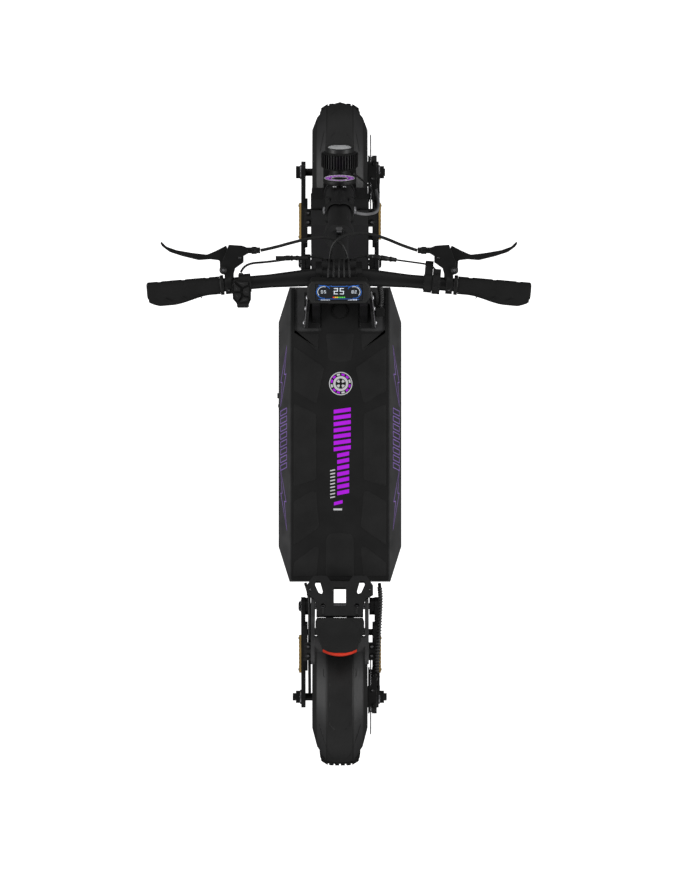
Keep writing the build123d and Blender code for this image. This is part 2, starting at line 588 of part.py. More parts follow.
def handlebar_clamp():
    """Stem head: cross barrel with two cable ports, and the two clamps round the bar."""
    barrel = steered(rod("X", STEM_HEAD_F, STEM_HEAD_S, 17, -29, 29))
    neck = steered(rod("Z", 0, 0, 18.5, STEM_HEAD_S - 34, STEM_HEAD_S - 4))
    head_y = STEER_Y + STEM_HEAD_F - STEM_HEAD_S * math.sin(math.radians(STEER_LEAN))
    head_z = STEER_Z + STEM_HEAD_S * math.cos(math.radians(STEER_LEAN))
    clamps = both_sides(link(28, BAR_BEND_X - 1, (head_y, head_z), 13, (BAR_Y, BAR_Z), 18.5))
    bore = bar_centre(BAR_R + FITTED, -60, 60)
    socket = steered(rod("Z", 0, 0, UPPER_R + FITTED, STEM_HEAD_S - 40, STEM_HEAD_S - 6))
    ports = both_sides(Location((15, head_y, head_z), (25, 0, 0)) * rod("Y", 0, 0, 6, 6, 25))
    return barrel + neck + clamps - bore - socket - ports


def handlebar():
    """Tapered, swept-back handlebar tube."""
    profile = [(0, 0), (BAR_R, 0), (BAR_R, 12), (BAR_END_R, 76), (BAR_END_R, BAR_LENGTH), (0, BAR_LENGTH)]
    turned = revolve(Plane.XZ * make_face(Polyline(*profile, close=True)), axis=Axis.Z)
    half = on_bar(Rotation(0, 90, 0) * turned) + Location((BAR_BEND_X, BAR_Y, BAR_Z)) * Sphere(BAR_R)
    return both_sides(half + bar_centre(BAR_R, 0, BAR_BEND_X))


def grips():
    """Rubber grips with a lock ring and a palm wing behind the bar."""
    body = rod("X", 0, 0, 15, GRIP_T0, GRIP_T1) + rod("X", 0, 0, 16.5, GRIP_T0, GRIP_T0 + 6)
    wing = [(175, 0), (190, -14), (212, -19), (232, -25), (254, -26.5), (269, -24.5), (278, -18), (GRIP_T1, -9),
            (GRIP_T1, 0)]
    body += prism("Z", wing, -6, 6)
    return both_sides(on_bar(body - rod("X", 0, 0, BAR_END_R + FITTED, GRIP_T0 - 1, BAR_LENGTH)))


PERCH_OUTLINE = [(179.4, 250), (192, 248), (190, 262), (192, 268), (199, 271), (200, 278), (197, 282),
                 (192.5, 297),
                 (184.5, 318), (162, 316.5), (153, 313), (152.5, 304), (160, 299.5), (160, 289), (174, 279),
                 (176.5, 270), (176.5, 263), (179.4, 256)]
PERCH_Z0, PERCH_Z1 = BAR_Z - 10.5, BAR_Z + 10.5
LEVER_Z0, LEVER_Z1 = BAR_Z - 5.2, BAR_Z + 5.2


def brake_perches():
    """Brake lever brackets: bar clamp, forked body, cable adjuster and pivot bolt on each side."""
    ring_t0, ring_t1 = 140.0, 151.0
    body = prism("Z", PERCH_OUTLINE, PERCH_Z0, PERCH_Z1) + on_bar(rod("X", 0, 0, 16, ring_t0, ring_t1))
    body -= prism("Z", [(178, 264), (190, 262), (220, 262), (220, 330), (190, 330), (176, 330), (168, 300)],
                  LEVER_Z0 - 0.5, LEVER_Z1 + 0.5)
    body -= on_bar(rod("X", 0, 0, BAR_END_R + FITTED, 120, 165))
    adjuster = rod("X", 308.8, BAR_Z, 5, 132, 154) + rod("X", 308.8, BAR_Z, 6.2, 138, 146)
    bolt = rod("Z", LEVER_X, LEVER_Y, 3, PERCH_Z0 - 2, PERCH_Z1 + 2)
    head = rod("Z", LEVER_X, LEVER_Y, 5.5, PERCH_Z1, PERCH_Z1 + 3)
    return both_sides(body + adjuster + bolt + head)


LEVER_OUTLINE = [(188, 270), (199, 270), (200, 292), (215.6, 294), (235, 292.5), (262, 299), (283.5, 306),
                 (296, 315),
                 (299.6, 321), (297.5, 323.5), (289, 315), (272, 309), (246, 304.5), (221, 301.5), (206, 308),
                 (188.5, 317), (184, 300)]


def brake_lever():
    """Right brake lever: pivot eye, root arm and the long curved blade."""
    blade = prism("Z", LEVER_OUTLINE, LEVER_Z0, LEVER_Z1)
    eye = rod("Z", LEVER_X, LEVER_Y, 6.5, LEVER_Z0, LEVER_Z1)
    return blade + eye - rod("Z", LEVER_X, LEVER_Y, 3 + RUNNING, LEVER_Z0 - 1, LEVER_Z1 + 1)


POD_Z0, POD_Z1 = BAR_Z - 14, BAR_Z + 21
BUTTON_TRAVEL, BUTTON_PROUD = 1.2, 2.4
BUTTONS = [
    [(173, 256.4), (151.5, 255), (152, 250.6), (161.5, 246.4)],
    [(175.8, 253.4), (164.6, 244.4), (165, 239.4), (175.8, 239.4)],
    [(175.8, 236.4), (164.6, 236.4), (163.6, 231.4), (169.4, 222.6), (174.8, 228.4)],
    [(159.4, 243.6), (150, 248), (149.2, 230.6), (158.6, 233), (161.4, 238)],
    [(159.6, 230.2), (150.2, 227.2), (152.6, 223.2), (167, 220.6)],
]


def switch_pod():
    """Button pod clamped round the bar's left side, with its cable gland in front."""
    outline = [(178.5, 251), (173.5, 260), (151, 260), (147.6, 254.7), (147.6, 226), (151, 218), (152, 212.6),
               (170, 212.6), (171, 219), (177.5, 227)]
    pod = smooth_prism("Z", outline, 1.5, POD_Z0 + 12, POD_Z1) + smooth_prism("Z",
                                                                              outline[:5] + [(172, 232)], 1.5,
                                                                             POD_Z0, POD_Z1 - 2)
    pod += on_bar(rod("X", 0, 0, 15.5, 108, 128))
    pod -= on_bar(rod("X", 0, 0, BAR_END_R + FITTED, 95, 145))
    for cell in BUTTONS:
        centre = (sum(x for x, _ in cell) / len(cell), sum(y for _, y in cell) / len(cell))
        grown = [(centre[0] + (x - centre[0]) * 1.09, centre[1] + (y - centre[1]) * 1.09) for x, y in cell]
        pod -= prism("Z", grown, POD_Z1 - 5, POD_Z1 + 1)
    gland = rod("Y", 164.4, BAR_Z + 4, 3.5, 265, 271)
    return mirror(pod + gland, about=Plane.YZ)


def button(cell):
    """One faceted button, standing proud of the pod."""
    cap = prism("Z", cell, POD_Z1 - 2.6, POD_Z1 + BUTTON_PROUD)
    return mirror(cap, about=Plane.YZ)


THROTTLE_T0, THROTTLE_T1 = 117.0, 130.0


def throttle_housing():
    """Throttle's clamp ring on the bar's right side with its cable outlet."""
    ring = rod("X", 0, 0, 18, THROTTLE_T0, THROTTLE_T1) + block(THROTTLE_T0, THROTTLE_T1, 6, 24, -10, 8)
    sleeve = rod("X", 0, 0, 13.2, 102, THROTTLE_T0 + 1)
    body = ring + sleeve - rod("X", 0, 0, BAR_END_R + FITTED, 95, 140)
    return on_bar(body)


def throttle_trigger():
    """Finger throttle: a ring turning on the sleeve with a paddle in front of the bar."""
    ring = rod("X", 0, 0, 16.5, 103, THROTTLE_T0 - 0.6)
    paddle = smooth_prism("X", [(10, -8), (26, -14), (36, -9), (37, -3), (26, 3), (10, 10)], 2, 103,
                          THROTTLE_T0 - 0.6)
    return on_bar(ring + paddle - rod("X", 0, 0, 13.2 + RUNNING, 95, 140))


DISPLAY_Y, DISPLAY_Z, DISPLAY_TILT = 241.0, 1141.0, 28.0


def on_display(shape):
    """Places a shape drawn flat at the origin, its face up, on the tilted display."""
    return Location((0, DISPLAY_Y, DISPLAY_Z), (DISPLAY_TILT, 0, 0)) * shape


def display_housing():
    """Eight-cornered display body with a lip at the rider's edge and two brackets to the clamps."""
    outline = [(-53, 9), (-53, -9), (-45, -20.5), (45, -20.5), (53, -9), (53, 9), (45, 20.5), (-45, 20.5)]
    body = on_display(smooth_prism("Z", outline, 3, -8, 8))
    body -= on_display(block(-39, 39, -15, 15, 7, 9))
    lip = on_display(block(-18, 18, -24.5, -19.5, -6, 2))
    leg = prism("X", [(238, 1134), (258, 1142), (270, 1119.5), (254, 1118)], 31, 39)
    leg -= bar_centre(18.5 + FITTED, 0, 60)
    return body + lip + both_sides(leg)


def display_screen():
    """Glass of the display, let into the housing's face."""
    return on_display(block(-38.8, 38.8, -14.8, 14.8, 7, 8.6))


def handlebar_cables():
    """Brake hoses, switch leads with their connectors and the display's leads."""
    left_brake = tube([(-131.2, 308.8, 1102), (-110, 313, 1103), (-78, 322, 1105), (-44, 330, 1107),
                       (-17, 331, 1108),
                       (2, 322, 1107), (11, 309, 1104), (14.5, 294, 1099)], 2.6)
    right_brake = tube([(131.2, 308.8, 1102), (108, 316, 1104), (76, 330, 1108), (42, 338.5, 1112),
                        (12, 335, 1115),
                        (-6, 324, 1113), (-14, 309, 1106), (-15, 294, 1099)], 2.6)
    left_switch = tube([(-164.4, 271.9, 1106), (-160.5, 280.7, 1106), (-147, 287.3, 1106),
                        (-128, 288.5, 1105),
                        (-98, 292, 1103), (-66, 297, 1101), (-42, 299, 1099), (-26, 296, 1098)], 1.9)
    right_switch = tube([(163, 272, 1089), (162, 279, 1079), (152, 286, 1071), (132, 289, 1070),
                         (108, 292, 1077),
                         (84, 295, 1087), (60, 298, 1095), (38, 300, 1098), (25, 295, 1098)], 1.9)
    left_plug = rod("X", 296, 1101, 4.5, -106, -52)
    right_plug = tube([(96, 293.5, 1082), (72, 296.5, 1091), (46, 299.2, 1097)], 4.5)
    return left_brake + right_brake + left_switch + right_switch + left_plug + right_plug


# ---- all pieces ---------------------------------------------------------------------------
os.makedirs("parts", exist_ok=True)

save("deck_shell", deck_shell())
save("deck_bottom_cover", deck_bottom_cover() + kickstand_bracket())
save("deck_mat", deck_mat())
save("battery_pack", battery_pack())
save("motor_controller", motor_controller())
save("neck_spine", neck_spine())
save("neck_gussets", neck_gussets())
save("deck_bolts", deck_bolts())
save("kick_plate", kick_plate())
save("taillight_housing", taillight_housing())
save("taillight_lens", taillight_lens())
save("deck_cables", deck_cables())
save("charge_cap", charge_cap())
save("kickstand_leg", kickstand_leg())

save("front_fork", front_fork())
save("fold_base", fold_base())
save("fork_pins", fork_pins())
save("headlight_housing", headlight_housing())
save("headlight_lens", headlight_lens())
save("front_badge", front_badge())
save("front_cables", front_cables())

save("front_swingarm", swingarm())
save("front_axle", axle(78, 84))
save("front_fender", fender(FRONT_NOSE))
save("front_reflectors", reflectors(362, 430))
save("front_caliper", caliper())
save("front_springs", springs())
save("front_caliper_arm", caliper_arm())
save("front_tyre", tyre())
save("front_hub", wheel_hub(34, 30, 6))
save("front_rotor", rotor())

save("rear_swingarm", to_rear(swingarm()))
save("rear_axle", to_rear(axle(88, 87)))
save("rear_fender", to_rear(fender(REAR_NOSE)))
save("rear_reflectors", to_rear(reflectors(372, 442)))
save("rear_caliper", to_rear(caliper()))
save("rear_springs", to_rear(springs()))
save("rear_caliper_arm", to_rear(caliper_arm()))
save("rear_tyre", to_rear(tyre()))
save("rear_motor_hub", to_rear(wheel_hub(62, 32, 0)))
save("rear_rotor", to_rear(rotor()))

save("stem_tube", stem_tube())
save("fold_latch", fold_latch())
save("handlebar_clamp", handlebar_clamp())
save("handlebar", handlebar())
save("grips", grips())
save("brake_perches", brake_perches())
save("brake_lever_right", brake_lever())
save("brake_lever_left", mirror(brake_lever(), about=Plane.YZ))
save("switch_pod", switch_pod())
for number, cell in enumerate(BUTTONS, start=1):
    save(f"button_{number}", button(cell))
save("throttle_housing", throttle_housing())
save("throttle_trigger", throttle_trigger())
save("display_housing", display_housing())
save("display_screen", display_screen())
save("handlebar_cables", handlebar_cables())
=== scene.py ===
import json
import math

import bmesh
import bpy
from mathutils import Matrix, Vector


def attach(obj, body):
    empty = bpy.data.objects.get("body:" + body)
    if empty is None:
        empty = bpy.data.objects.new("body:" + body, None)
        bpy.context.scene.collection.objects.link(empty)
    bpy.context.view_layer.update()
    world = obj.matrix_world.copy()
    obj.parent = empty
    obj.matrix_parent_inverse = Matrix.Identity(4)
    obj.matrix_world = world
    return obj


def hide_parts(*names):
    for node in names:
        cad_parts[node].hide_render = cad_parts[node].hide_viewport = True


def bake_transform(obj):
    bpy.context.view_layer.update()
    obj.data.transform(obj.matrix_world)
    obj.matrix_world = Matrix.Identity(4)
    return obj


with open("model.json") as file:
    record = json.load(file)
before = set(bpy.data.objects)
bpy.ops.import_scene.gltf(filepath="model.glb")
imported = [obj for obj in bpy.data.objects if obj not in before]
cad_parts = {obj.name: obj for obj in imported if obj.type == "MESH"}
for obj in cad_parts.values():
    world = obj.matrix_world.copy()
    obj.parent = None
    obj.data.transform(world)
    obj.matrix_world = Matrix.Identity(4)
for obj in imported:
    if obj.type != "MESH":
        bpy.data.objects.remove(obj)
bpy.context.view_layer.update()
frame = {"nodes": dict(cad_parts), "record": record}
scene = bpy.context.scene
nodes = frame["nodes"]

# Shapes are written in millimetres in the CAD frame and turned into metres as they are built.
# +Y is forward, +X is the rider's right, +Z is up.
MM = 0.001

AXLE_Y, AXLE_Z = 488.0, 128.0
STEER_Y, STEER_Z, STEER_LEAN = 466.0, 330.0, math.radians(14)
FOLD_S, LAMP_S, BADGE_S = 286.5, 100.0, 175.0
BAR_BEND_X, BAR_Y, BAR_Z, BAR_SWEEP = 40.0, 264.0, 1102.0, math.radians(4.9)
DECK_TOP_HALF_W, DECK_WIDE_HALF_W, DECK_WAIST_Z, DECK_TOP_Z = 93.0, 114.0, 150.0, 200.0
MAT_TOP_Z = 205.0
MAT_SHEET_Z = MAT_TOP_Z - 0.9
ARM_X1 = 72.0
PIVOT_Y, PIVOT_Z = 318.0, 170.0
LEVER_PIVOT = (193.5, 275.0)


# ---- camera and stage ---------------------------------------------------------------------
CAMERA_HEIGHT, CAMERA_ASIDE, LENS = 10.0, 0.0186, 219.8


def add_camera():
    """A long lens straight above the scooter."""
    data = bpy.data.cameras.new("camera")
    data.lens = LENS
    camera = bpy.data.objects.new("camera", data)
    camera.location = (CAMERA_ASIDE, 0, CAMERA_HEIGHT)
    scene.collection.objects.link(camera)
    scene.camera = camera


def node_group(material):
    """The material's node tree, its shader and its output."""
    material.use_nodes = True
    tree = material.node_tree
    return tree, tree.nodes["Principled BSDF"]


def add_floor():
    """A large pale floor that is lit a little from within, so that it stays near white."""
    half = 6.0
    mesh = bpy.data.meshes.new("floor")
    corners = [(x, y, 0) for x, y in oblong(-half, half, -half, half)]
    mesh.from_pydata(corners, [], [(0, 1, 2, 3)])
    floor = bpy.data.objects.new("floor", mesh)
    scene.collection.objects.link(floor)
    material = bpy.data.materials.new("floor_paint")
    _, shader = node_group(material)
    shader.inputs["Base Color"].default_value = (0.85, 0.85, 0.85, 1)
    shader.inputs["Roughness"].default_value = 1.0
    shader.inputs["Specular IOR Level"].default_value = 0.0
    shader.inputs["Emission Color"].default_value = (1, 1, 1, 1)
    shader.inputs["Emission Strength"].default_value = 1.0
    mesh.materials.append(material)
    floor.visible_glossy = False
    floor.visible_diffuse = False


def add_light():
    """A soft studio dome, dim overhead and below and brightest at the horizon, with two long side panels."""
    scene.view_settings.view_transform = "Standard"
    world = bpy.data.worlds.new("studio")
    scene.world = world
    world.use_nodes = True
    tree = world.node_tree
    back = tree.nodes["Background"]
    coords = tree.nodes.new("ShaderNodeTexCoord")
    split = tree.nodes.new("ShaderNodeSeparateXYZ")
    ramp = tree.nodes.new("ShaderNodeValToRGB")
    tree.links.new(coords.outputs["Generated"], split.inputs[0])
    height = tree.nodes.new("ShaderNodeMapRange")
    height.inputs["From Min"].default_value = -1.0
    tree.links.new(split.outputs["Z"], height.inputs["Value"])
    tree.links.new(height.outputs["Result"], ramp.inputs["Fac"])
    tree.links.new(ramp.outputs["Color"], back.inputs["Color"])
    for k, (position, level) in enumerate(((0.40, 0.06), (0.52, 0.45), (0.70, 0.40), (0.98, 0.12))):
        stop = ramp.color_ramp.elements[k] if k < 2 else ramp.color_ramp.elements.new(position)
        stop.position = position
        stop.color = (level, level, level, 1)
    back.inputs["Strength"].default_value = 1.0
    for side in (-1, 1):
        data = bpy.data.lights.new("side_panel", "AREA")
        data.shape = "RECTANGLE"
        data.size, data.size_y = 1.0, 3.0
        data.energy = 34
        panel = bpy.data.objects.new("side_panel", data)
        panel.location = (side * 2.4, 0.1, 2.0)
        panel.rotation_euler = (0, side * math.radians(52), 0)
        scene.collection.objects.link(panel)


# ---- materials ----------------------------------------------------------------------------
def make_material(name, colour, roughness, metallic=0.0, grain=900.0, bump=0.05, mottle=0.25, specular=0.5,
                  coat=0.0, edge=0.0, glow=0.0, brushed=0.0):
    """A procedural finish: mottled colour, uneven gloss, fine grain, eased corners. A grey is one number."""
    material = bpy.data.materials.new(name)
    tree, shader = node_group(material)
    links, new = tree.links, tree.nodes.new
    colour = colour if isinstance(colour, tuple) else (colour,) * 3
    coords = new("ShaderNodeTexCoord")
    place = new("ShaderNodeMapping")
    links.new(coords.outputs["Object"], place.inputs["Vector"])
    place.inputs["Scale"].default_value = (1, 1, 1 + brushed)
    broad = new("ShaderNodeTexNoise")
    broad.inputs["Scale"].default_value = 28.0
    broad.inputs["Detail"].default_value = 5.0
    fine = new("ShaderNodeTexNoise")
    fine.inputs["Scale"].default_value = grain
    fine.inputs["Detail"].default_value = 3.0
    links.new(place.outputs["Vector"], broad.inputs["Vector"])
    links.new(place.outputs["Vector"], fine.inputs["Vector"])
    tone = new("ShaderNodeValToRGB")
    tone.color_ramp.elements[0].position = 0.3
    tone.color_ramp.elements[1].position = 0.7
    dark = [c * (1 - mottle) for c in colour]
    light = [min(1.0, c * (1 + mottle)) for c in colour]
    tone.color_ramp.elements[0].color = (*dark, 1)
    tone.color_ramp.elements[1].color = (*light, 1)
    links.new(broad.outputs["Fac"], tone.inputs["Fac"])
    surface = tone.outputs["Color"]
    links.new(surface, shader.inputs["Base Color"])
    gloss = new("ShaderNodeMapRange")
    gloss.inputs["To Min"].default_value = max(0.02, roughness - 0.08)
    gloss.inputs["To Max"].default_value = min(1.0, roughness + 0.08)
    links.new(broad.outputs["Fac"], gloss.inputs["Value"])
    links.new(gloss.outputs["Result"], shader.inputs["Roughness"])
    relief = new("ShaderNodeBump")
    relief.inputs["Strength"].default_value = bump
    relief.inputs["Distance"].default_value = 0.0006
    links.new(fine.outputs["Fac"], relief.inputs["Height"])
    if edge:
        eased = new("ShaderNodeBevel")
        eased.samples = 4
        eased.inputs["Radius"].default_value = edge
        links.new(eased.outputs["Normal"], relief.inputs["Normal"])
    links.new(relief.outputs["Normal"], shader.inputs["Normal"])
    shader.inputs["Metallic"].default_value = metallic
    shader.inputs["Specular IOR Level"].default_value = specular
    shader.inputs["Coat Weight"].default_value = coat
    # glow makes the surface colour emit light; on print and paint that is a painted glow
    if glow:
        links.new(surface, shader.inputs["Emission Color"])
        shader.inputs["Emission Strength"].default_value = glow
    return material


EDGE = 0.0008
MATERIALS = {
    "deck_paint": dict(colour=(0.062, 0.062, 0.063), roughness=0.5, grain=1400, bump=0.12, edge=EDGE),
    "frame_paint": dict(colour=(0.010, 0.010, 0.0105), roughness=0.42, grain=1500, bump=0.12, edge=EDGE),
    "mat_rubber": dict(colour=0.013, roughness=0.75, grain=1100, bump=0.35, specular=0.25,
                       edge=EDGE),
    "mat_panel": dict(colour=0.0155, roughness=0.7, grain=800, bump=0.45, specular=0.28),
    "cell_wrap": dict(colour=(0.02, 0.10, 0.30), roughness=0.3),
    "bare_aluminium": dict(colour=(0.55, 0.55, 0.56), roughness=0.4, metallic=1.0, edge=EDGE),
    "bolt_steel": dict(colour=(0.60, 0.60, 0.62), roughness=0.28, metallic=1.0, grain=2500, edge=0.0004),
    "black_steel": dict(colour=0.009, roughness=0.38, edge=EDGE),
    "black_plastic": dict(colour=0.007, roughness=0.5, grain=2200, bump=0.2, edge=EDGE),
    "cable_jacket": dict(colour=0.016, roughness=0.45, grain=1800, bump=0.1),
    "red_lens": dict(colour=(0.65, 0.035, 0.012), roughness=0.15, coat=0.6, glow=0.25),
    "amber_reflector": dict(colour=(0.72, 0.48, 0.16), roughness=0.2, grain=600, bump=0.5, coat=0.5),
    "lamp_glass": dict(colour=(0.80, 0.82, 0.84), roughness=0.08, coat=1.0),
    "screen_glass": dict(colour=(0.004, 0.006, 0.012), roughness=0.12, mottle=0.1, coat=0.5),
    "badge_plastic": dict(colour=(0.30, 0.02, 0.50), roughness=0.25, coat=0.5),
    # purple print with emission: a painted glow on print that is no lamp
    "purple_print_painted_glow": dict(colour=(0.52, 0.010, 0.86), roughness=0.35, coat=0.3, mottle=0.08, glow=0.2),
    # purple outline print with emission: a painted glow on print that is no lamp
    "flank_outline_painted_glow": dict(colour=(0.34, 0.20, 0.62), roughness=0.4, mottle=0.1, glow=0.16),
    "print_white": dict(colour=(0.82, 0.82, 0.84), roughness=0.45, mottle=0.06),
    "ui_white": dict(colour=(0.85, 0.92, 1.0), roughness=0.4, mottle=0.02, glow=0.4),
    "ui_blue": dict(colour=(0.03, 0.18, 0.70), roughness=0.4, mottle=0.02, glow=0.35),
    "ui_red": dict(colour=(0.80, 0.05, 0.03), roughness=0.4, mottle=0.02, glow=0.7),
    "ui_yellow": dict(colour=(0.85, 0.55, 0.03), roughness=0.4, mottle=0.02, glow=0.7),
    "ui_green": dict(colour=(0.10, 0.60, 0.08), roughness=0.4, mottle=0.02, glow=0.7),
    "tyre_rubber": dict(colour=0.016, roughness=0.7, grain=1200, bump=0.35, mottle=0.35,
                        specular=0.35),
    "rim_paint": dict(colour=0.01, roughness=0.35, edge=EDGE),
    "disc_steel": dict(colour=(0.42, 0.42, 0.43), roughness=0.3, metallic=1.0, brushed=14.0, edge=0.0003),
    "grip_rubber": dict(colour=0.010, roughness=0.68, grain=1500, bump=0.4, specular=0.35),
    "button_plastic": dict(colour=0.02, roughness=0.42, grain=2400, bump=0.15),
    "spring_steel": dict(colour=0.02, roughness=0.25, coat=0.4),
    "fender_plastic": dict(colour=0.03, roughness=0.46, grain=1700, bump=0.22, mottle=0.15),
    "fender_top": dict(colour=0.018, roughness=0.45, grain=1700, bump=0.22, mottle=0.12),
    "fender_side": dict(colour=(0.024, 0.024, 0.0245), roughness=0.45, grain=1700, bump=0.22, mottle=0.12),
    "fender_flank": dict(colour=0.018, roughness=0.45, grain=1700, bump=0.22, mottle=0.12),
    # painted shade: a darker copy of the fender plastic for the fender's folds and creases and the tail light
    # cover's creases
    "fender_crease_shade": dict(colour=0.007, roughness=0.5, grain=1700, bump=0.2),
    "bezel": dict(colour=0.022, roughness=0.4, grain=2000, bump=0.12, edge=0.0006),
    "hose_grey": dict(colour=(0.26, 0.26, 0.27), roughness=0.35, grain=1500, bump=0.15),
    "wrap_grey": dict(colour=0.10, roughness=0.4, grain=1500, bump=0.15),
}
finishes = {}


def finish(name):
    """The named finish, made once."""
    if name not in finishes:
        finishes[name] = make_material(name, **MATERIALS[name])
    return finishes[name]


def dress_cad_nodes():
    """Gives each CAD node the finish of its slot in the record."""
    for row in frame["record"]["subparts"]:
        obj = nodes[row["node"]]
        obj.data.materials.clear()
        obj.data.materials.append(finish(row["material_slot"]))


# ---- frames of reference ------------------------------------------------------------------
def steered(x, f, s):
    """A point of the steering frame, f forward and s along the axis, in the scooter's frame."""
    cos, sin = math.cos(STEER_LEAN), math.sin(STEER_LEAN)
    return Vector((x, STEER_Y + f * cos - s * sin, STEER_Z + f * sin + s * cos))


def on_bar(side, t, forward, up):
    """A point by the bar: t outward from its bend, on the left (-1) or right (1)."""
    cos, sin = math.cos(BAR_SWEEP), math.sin(BAR_SWEEP)
    x = BAR_BEND_X + t * cos + forward * sin
    return Vector((side * x, BAR_Y - t * sin + forward * cos, BAR_Z + up))


def tilted(x, y, z, degrees, origin_y, origin_z):
    """A point of a frame turned about X, its origin in the median plane."""
    cos, sin = math.cos(math.radians(degrees)), math.sin(math.radians(degrees))
    return Vector((x, origin_y + y * cos - z * sin, origin_z + y * sin + z * cos))


# ---- mesh building ------------------------------------------------------------------------
class Shape:
    """Vertices and faces gathered from simple solids, each with a finish of its own."""

    def __init__(self):
        self.verts, self.faces, self.marks, self.names = [], [], [], []

    def add(self, verts, faces, name):
        """Adds a mesh."""
        if name not in self.names:
            self.names.append(name)
        start = len(self.verts)
        self.verts += [Vector(v) for v in verts]
        self.faces += [tuple(start + i for i in face) for face in faces]
        self.marks += [self.names.index(name)] * len(faces)

    def skin(self, rows, name, around=True, along=False, caps=True):
        """A surface through rows of points; around closes each row, along closes the rows in a ring."""
        n, count = len(rows[0]), len(rows)
        verts = [p for row in rows for p in row]
        faces = []
        for i in range(count if along else count - 1):
            j = (i + 1) % count
            for k in range(n if around else n - 1):
                m = (k + 1) % n
                faces.append((i * n + k, i * n + m, j * n + m, j * n + k))
        if caps and around and not along:
            faces.append(tuple(reversed(range(n))))
            faces.append(tuple((count - 1) * n + k for k in range(n)))
        self.add(verts, faces, name)

    def prism(self, outline, low, high, name, place=lambda x, y, z: Vector((x, y, z))):
        """An outline in (x, y) raised from low to high and placed."""
        self.skin([[place(x, y, low) for x, y in outline], [place(x, y, high) for x, y in outline]], name)

    def lathe(self, profile, place, name, steps=48, closed=True):
        """A (along, radius) profile turned about an axis; place takes (along, across, up)."""
        rows = []
        for i in range(steps):
            a = 2 * math.pi * i / steps
            rows.append([place(t, r * math.cos(a), r * math.sin(a)) for t, r in profile])
        self.skin(rows, name, around=closed, along=True, caps=False)

    def tube(self, path, radius, name, sides=12, radii=None):
        """A round tube along a path of points."""
        path = [Vector(p) for p in path]
        side = None
        rows = []
        for i, here in enumerate(path):
            ahead = (path[min(i + 1, len(path) - 1)] - path[max(i - 1, 0)]).normalized()
            if side is None:
                side = ahead.cross(Vector((0.3, 0.2, 1))).normalized()
            side = (side - ahead * side.dot(ahead)).normalized()
            other = ahead.cross(side)
            r = radii[i] if radii else radius
            turn = [2 * math.pi * k / sides for k in range(sides)]
            rows.append([here + side * (r * math.cos(a)) + other * (r * math.sin(a)) for a in turn])
        self.skin(rows, name)

    def make(self, name, body, replaces=(), bevel=0.0, sharp=35, segments=2):
        """Builds the object, with shared normals, and rides it on a body."""
        mesh = bpy.data.meshes.new(name)
        mesh.from_pydata([v * MM for v in self.verts], [], self.faces)
        for finish_name in self.names:
            mesh.materials.append(finish(finish_name))
        mesh.polygons.foreach_set("material_index", self.marks)
        mesh.validate()
        face_outward(mesh)
        mesh.shade_smooth()
        mesh.set_sharp_from_angle(angle=math.radians(sharp))
        obj = bpy.data.objects.new(name, mesh)
        scene.collection.objects.link(obj)
        if bevel:
            easing = obj.modifiers.new("eased_edges", "BEVEL")
            easing.width = bevel * MM
            easing.segments = segments
            easing.limit_method = "ANGLE"
            easing.angle_limit = math.radians(30)
            easing.harden_normals = True
        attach(obj, body)
        if replaces:
            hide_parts(*replaces)
        return obj


def face_outward(mesh):
    """Turns every face outward."""
    work = bmesh.new()
    work.from_mesh(mesh)
    bmesh.ops.recalc_face_normals(work, faces=work.faces)
    work.to_mesh(mesh)
    work.free()


def arc(cx, cy, r, start, end, steps):
    """Points on an arc in a plane, angles in degrees."""
    angles = [math.radians(start + (end - start) * i / steps) for i in range(steps + 1)]
    return [(cx + r * math.cos(a), cy + r * math.sin(a)) for a in angles]


def rounded(outline, radius, steps=3):
    """The outline with each corner rounded."""
    out = []
    n = len(outline)
    for i in range(n):
        before, here, after = Vector(outline[i - 1]), Vector(outline[i]), Vector(outline[(i + 1) % n])
        back, ahead = (before - here), (after - here)
        reach = min(radius, back.length / 2.2, ahead.length / 2.2)
        a, b = here + back.normalized() * reach, here + ahead.normalized() * reach
        for k in range(steps + 1):
            t = k / steps
            out.append(tuple((a * (1 - t) + here * t) * (1 - t) + (here * (1 - t) + b * t) * t))
    return out


def oblong(x0, x1, y0, y1):
    """The corners of an upright oblong."""
    return [(x0, y0), (x1, y0), (x1, y1), (x0, y1)]


def smooth_path(points, steps=8):
    """Points along a Catmull-Rom curve through the given points."""
    pts = [Vector(p) for p in points]
    pts = [pts[0] * 2 - pts[1]] + pts + [pts[-1] * 2 - pts[-2]]
    out = []
    for p0, p1, p2, p3 in zip(pts, pts[1:], pts[2:], pts[3:]):
        for k in range(steps):
            t = k / steps
            out.append(0.5 * ((2 * p1) + (p2 - p0) * t + (2 * p0 - 5 * p1 + 4 * p2 - p3) * t**2
                              + (3 * p1 - p0 - 3 * p2 + p3) * t**3))
    out.append(pts[-2])
    return out


# ---- small parts used in many places --------------------------------------------------------
def frame_at(origin, axis, turn=0.0):
    """Places (along, across, up) at an origin with its first direction along an axis."""
    axis = Vector(axis).normalized()
    side = axis.cross(Vector((0, 0, 1)))
    side = Vector((0, 1, 0)) if side.length < 0.01 else side.normalized()
    up = axis.cross(side)
    origin = Vector(origin)
    cos, sin = math.cos(turn), math.sin(turn)
    across, high = side * cos + up * sin, up * cos - side * sin
    return lambda a, b, c: origin + axis * a + across * b + high * c


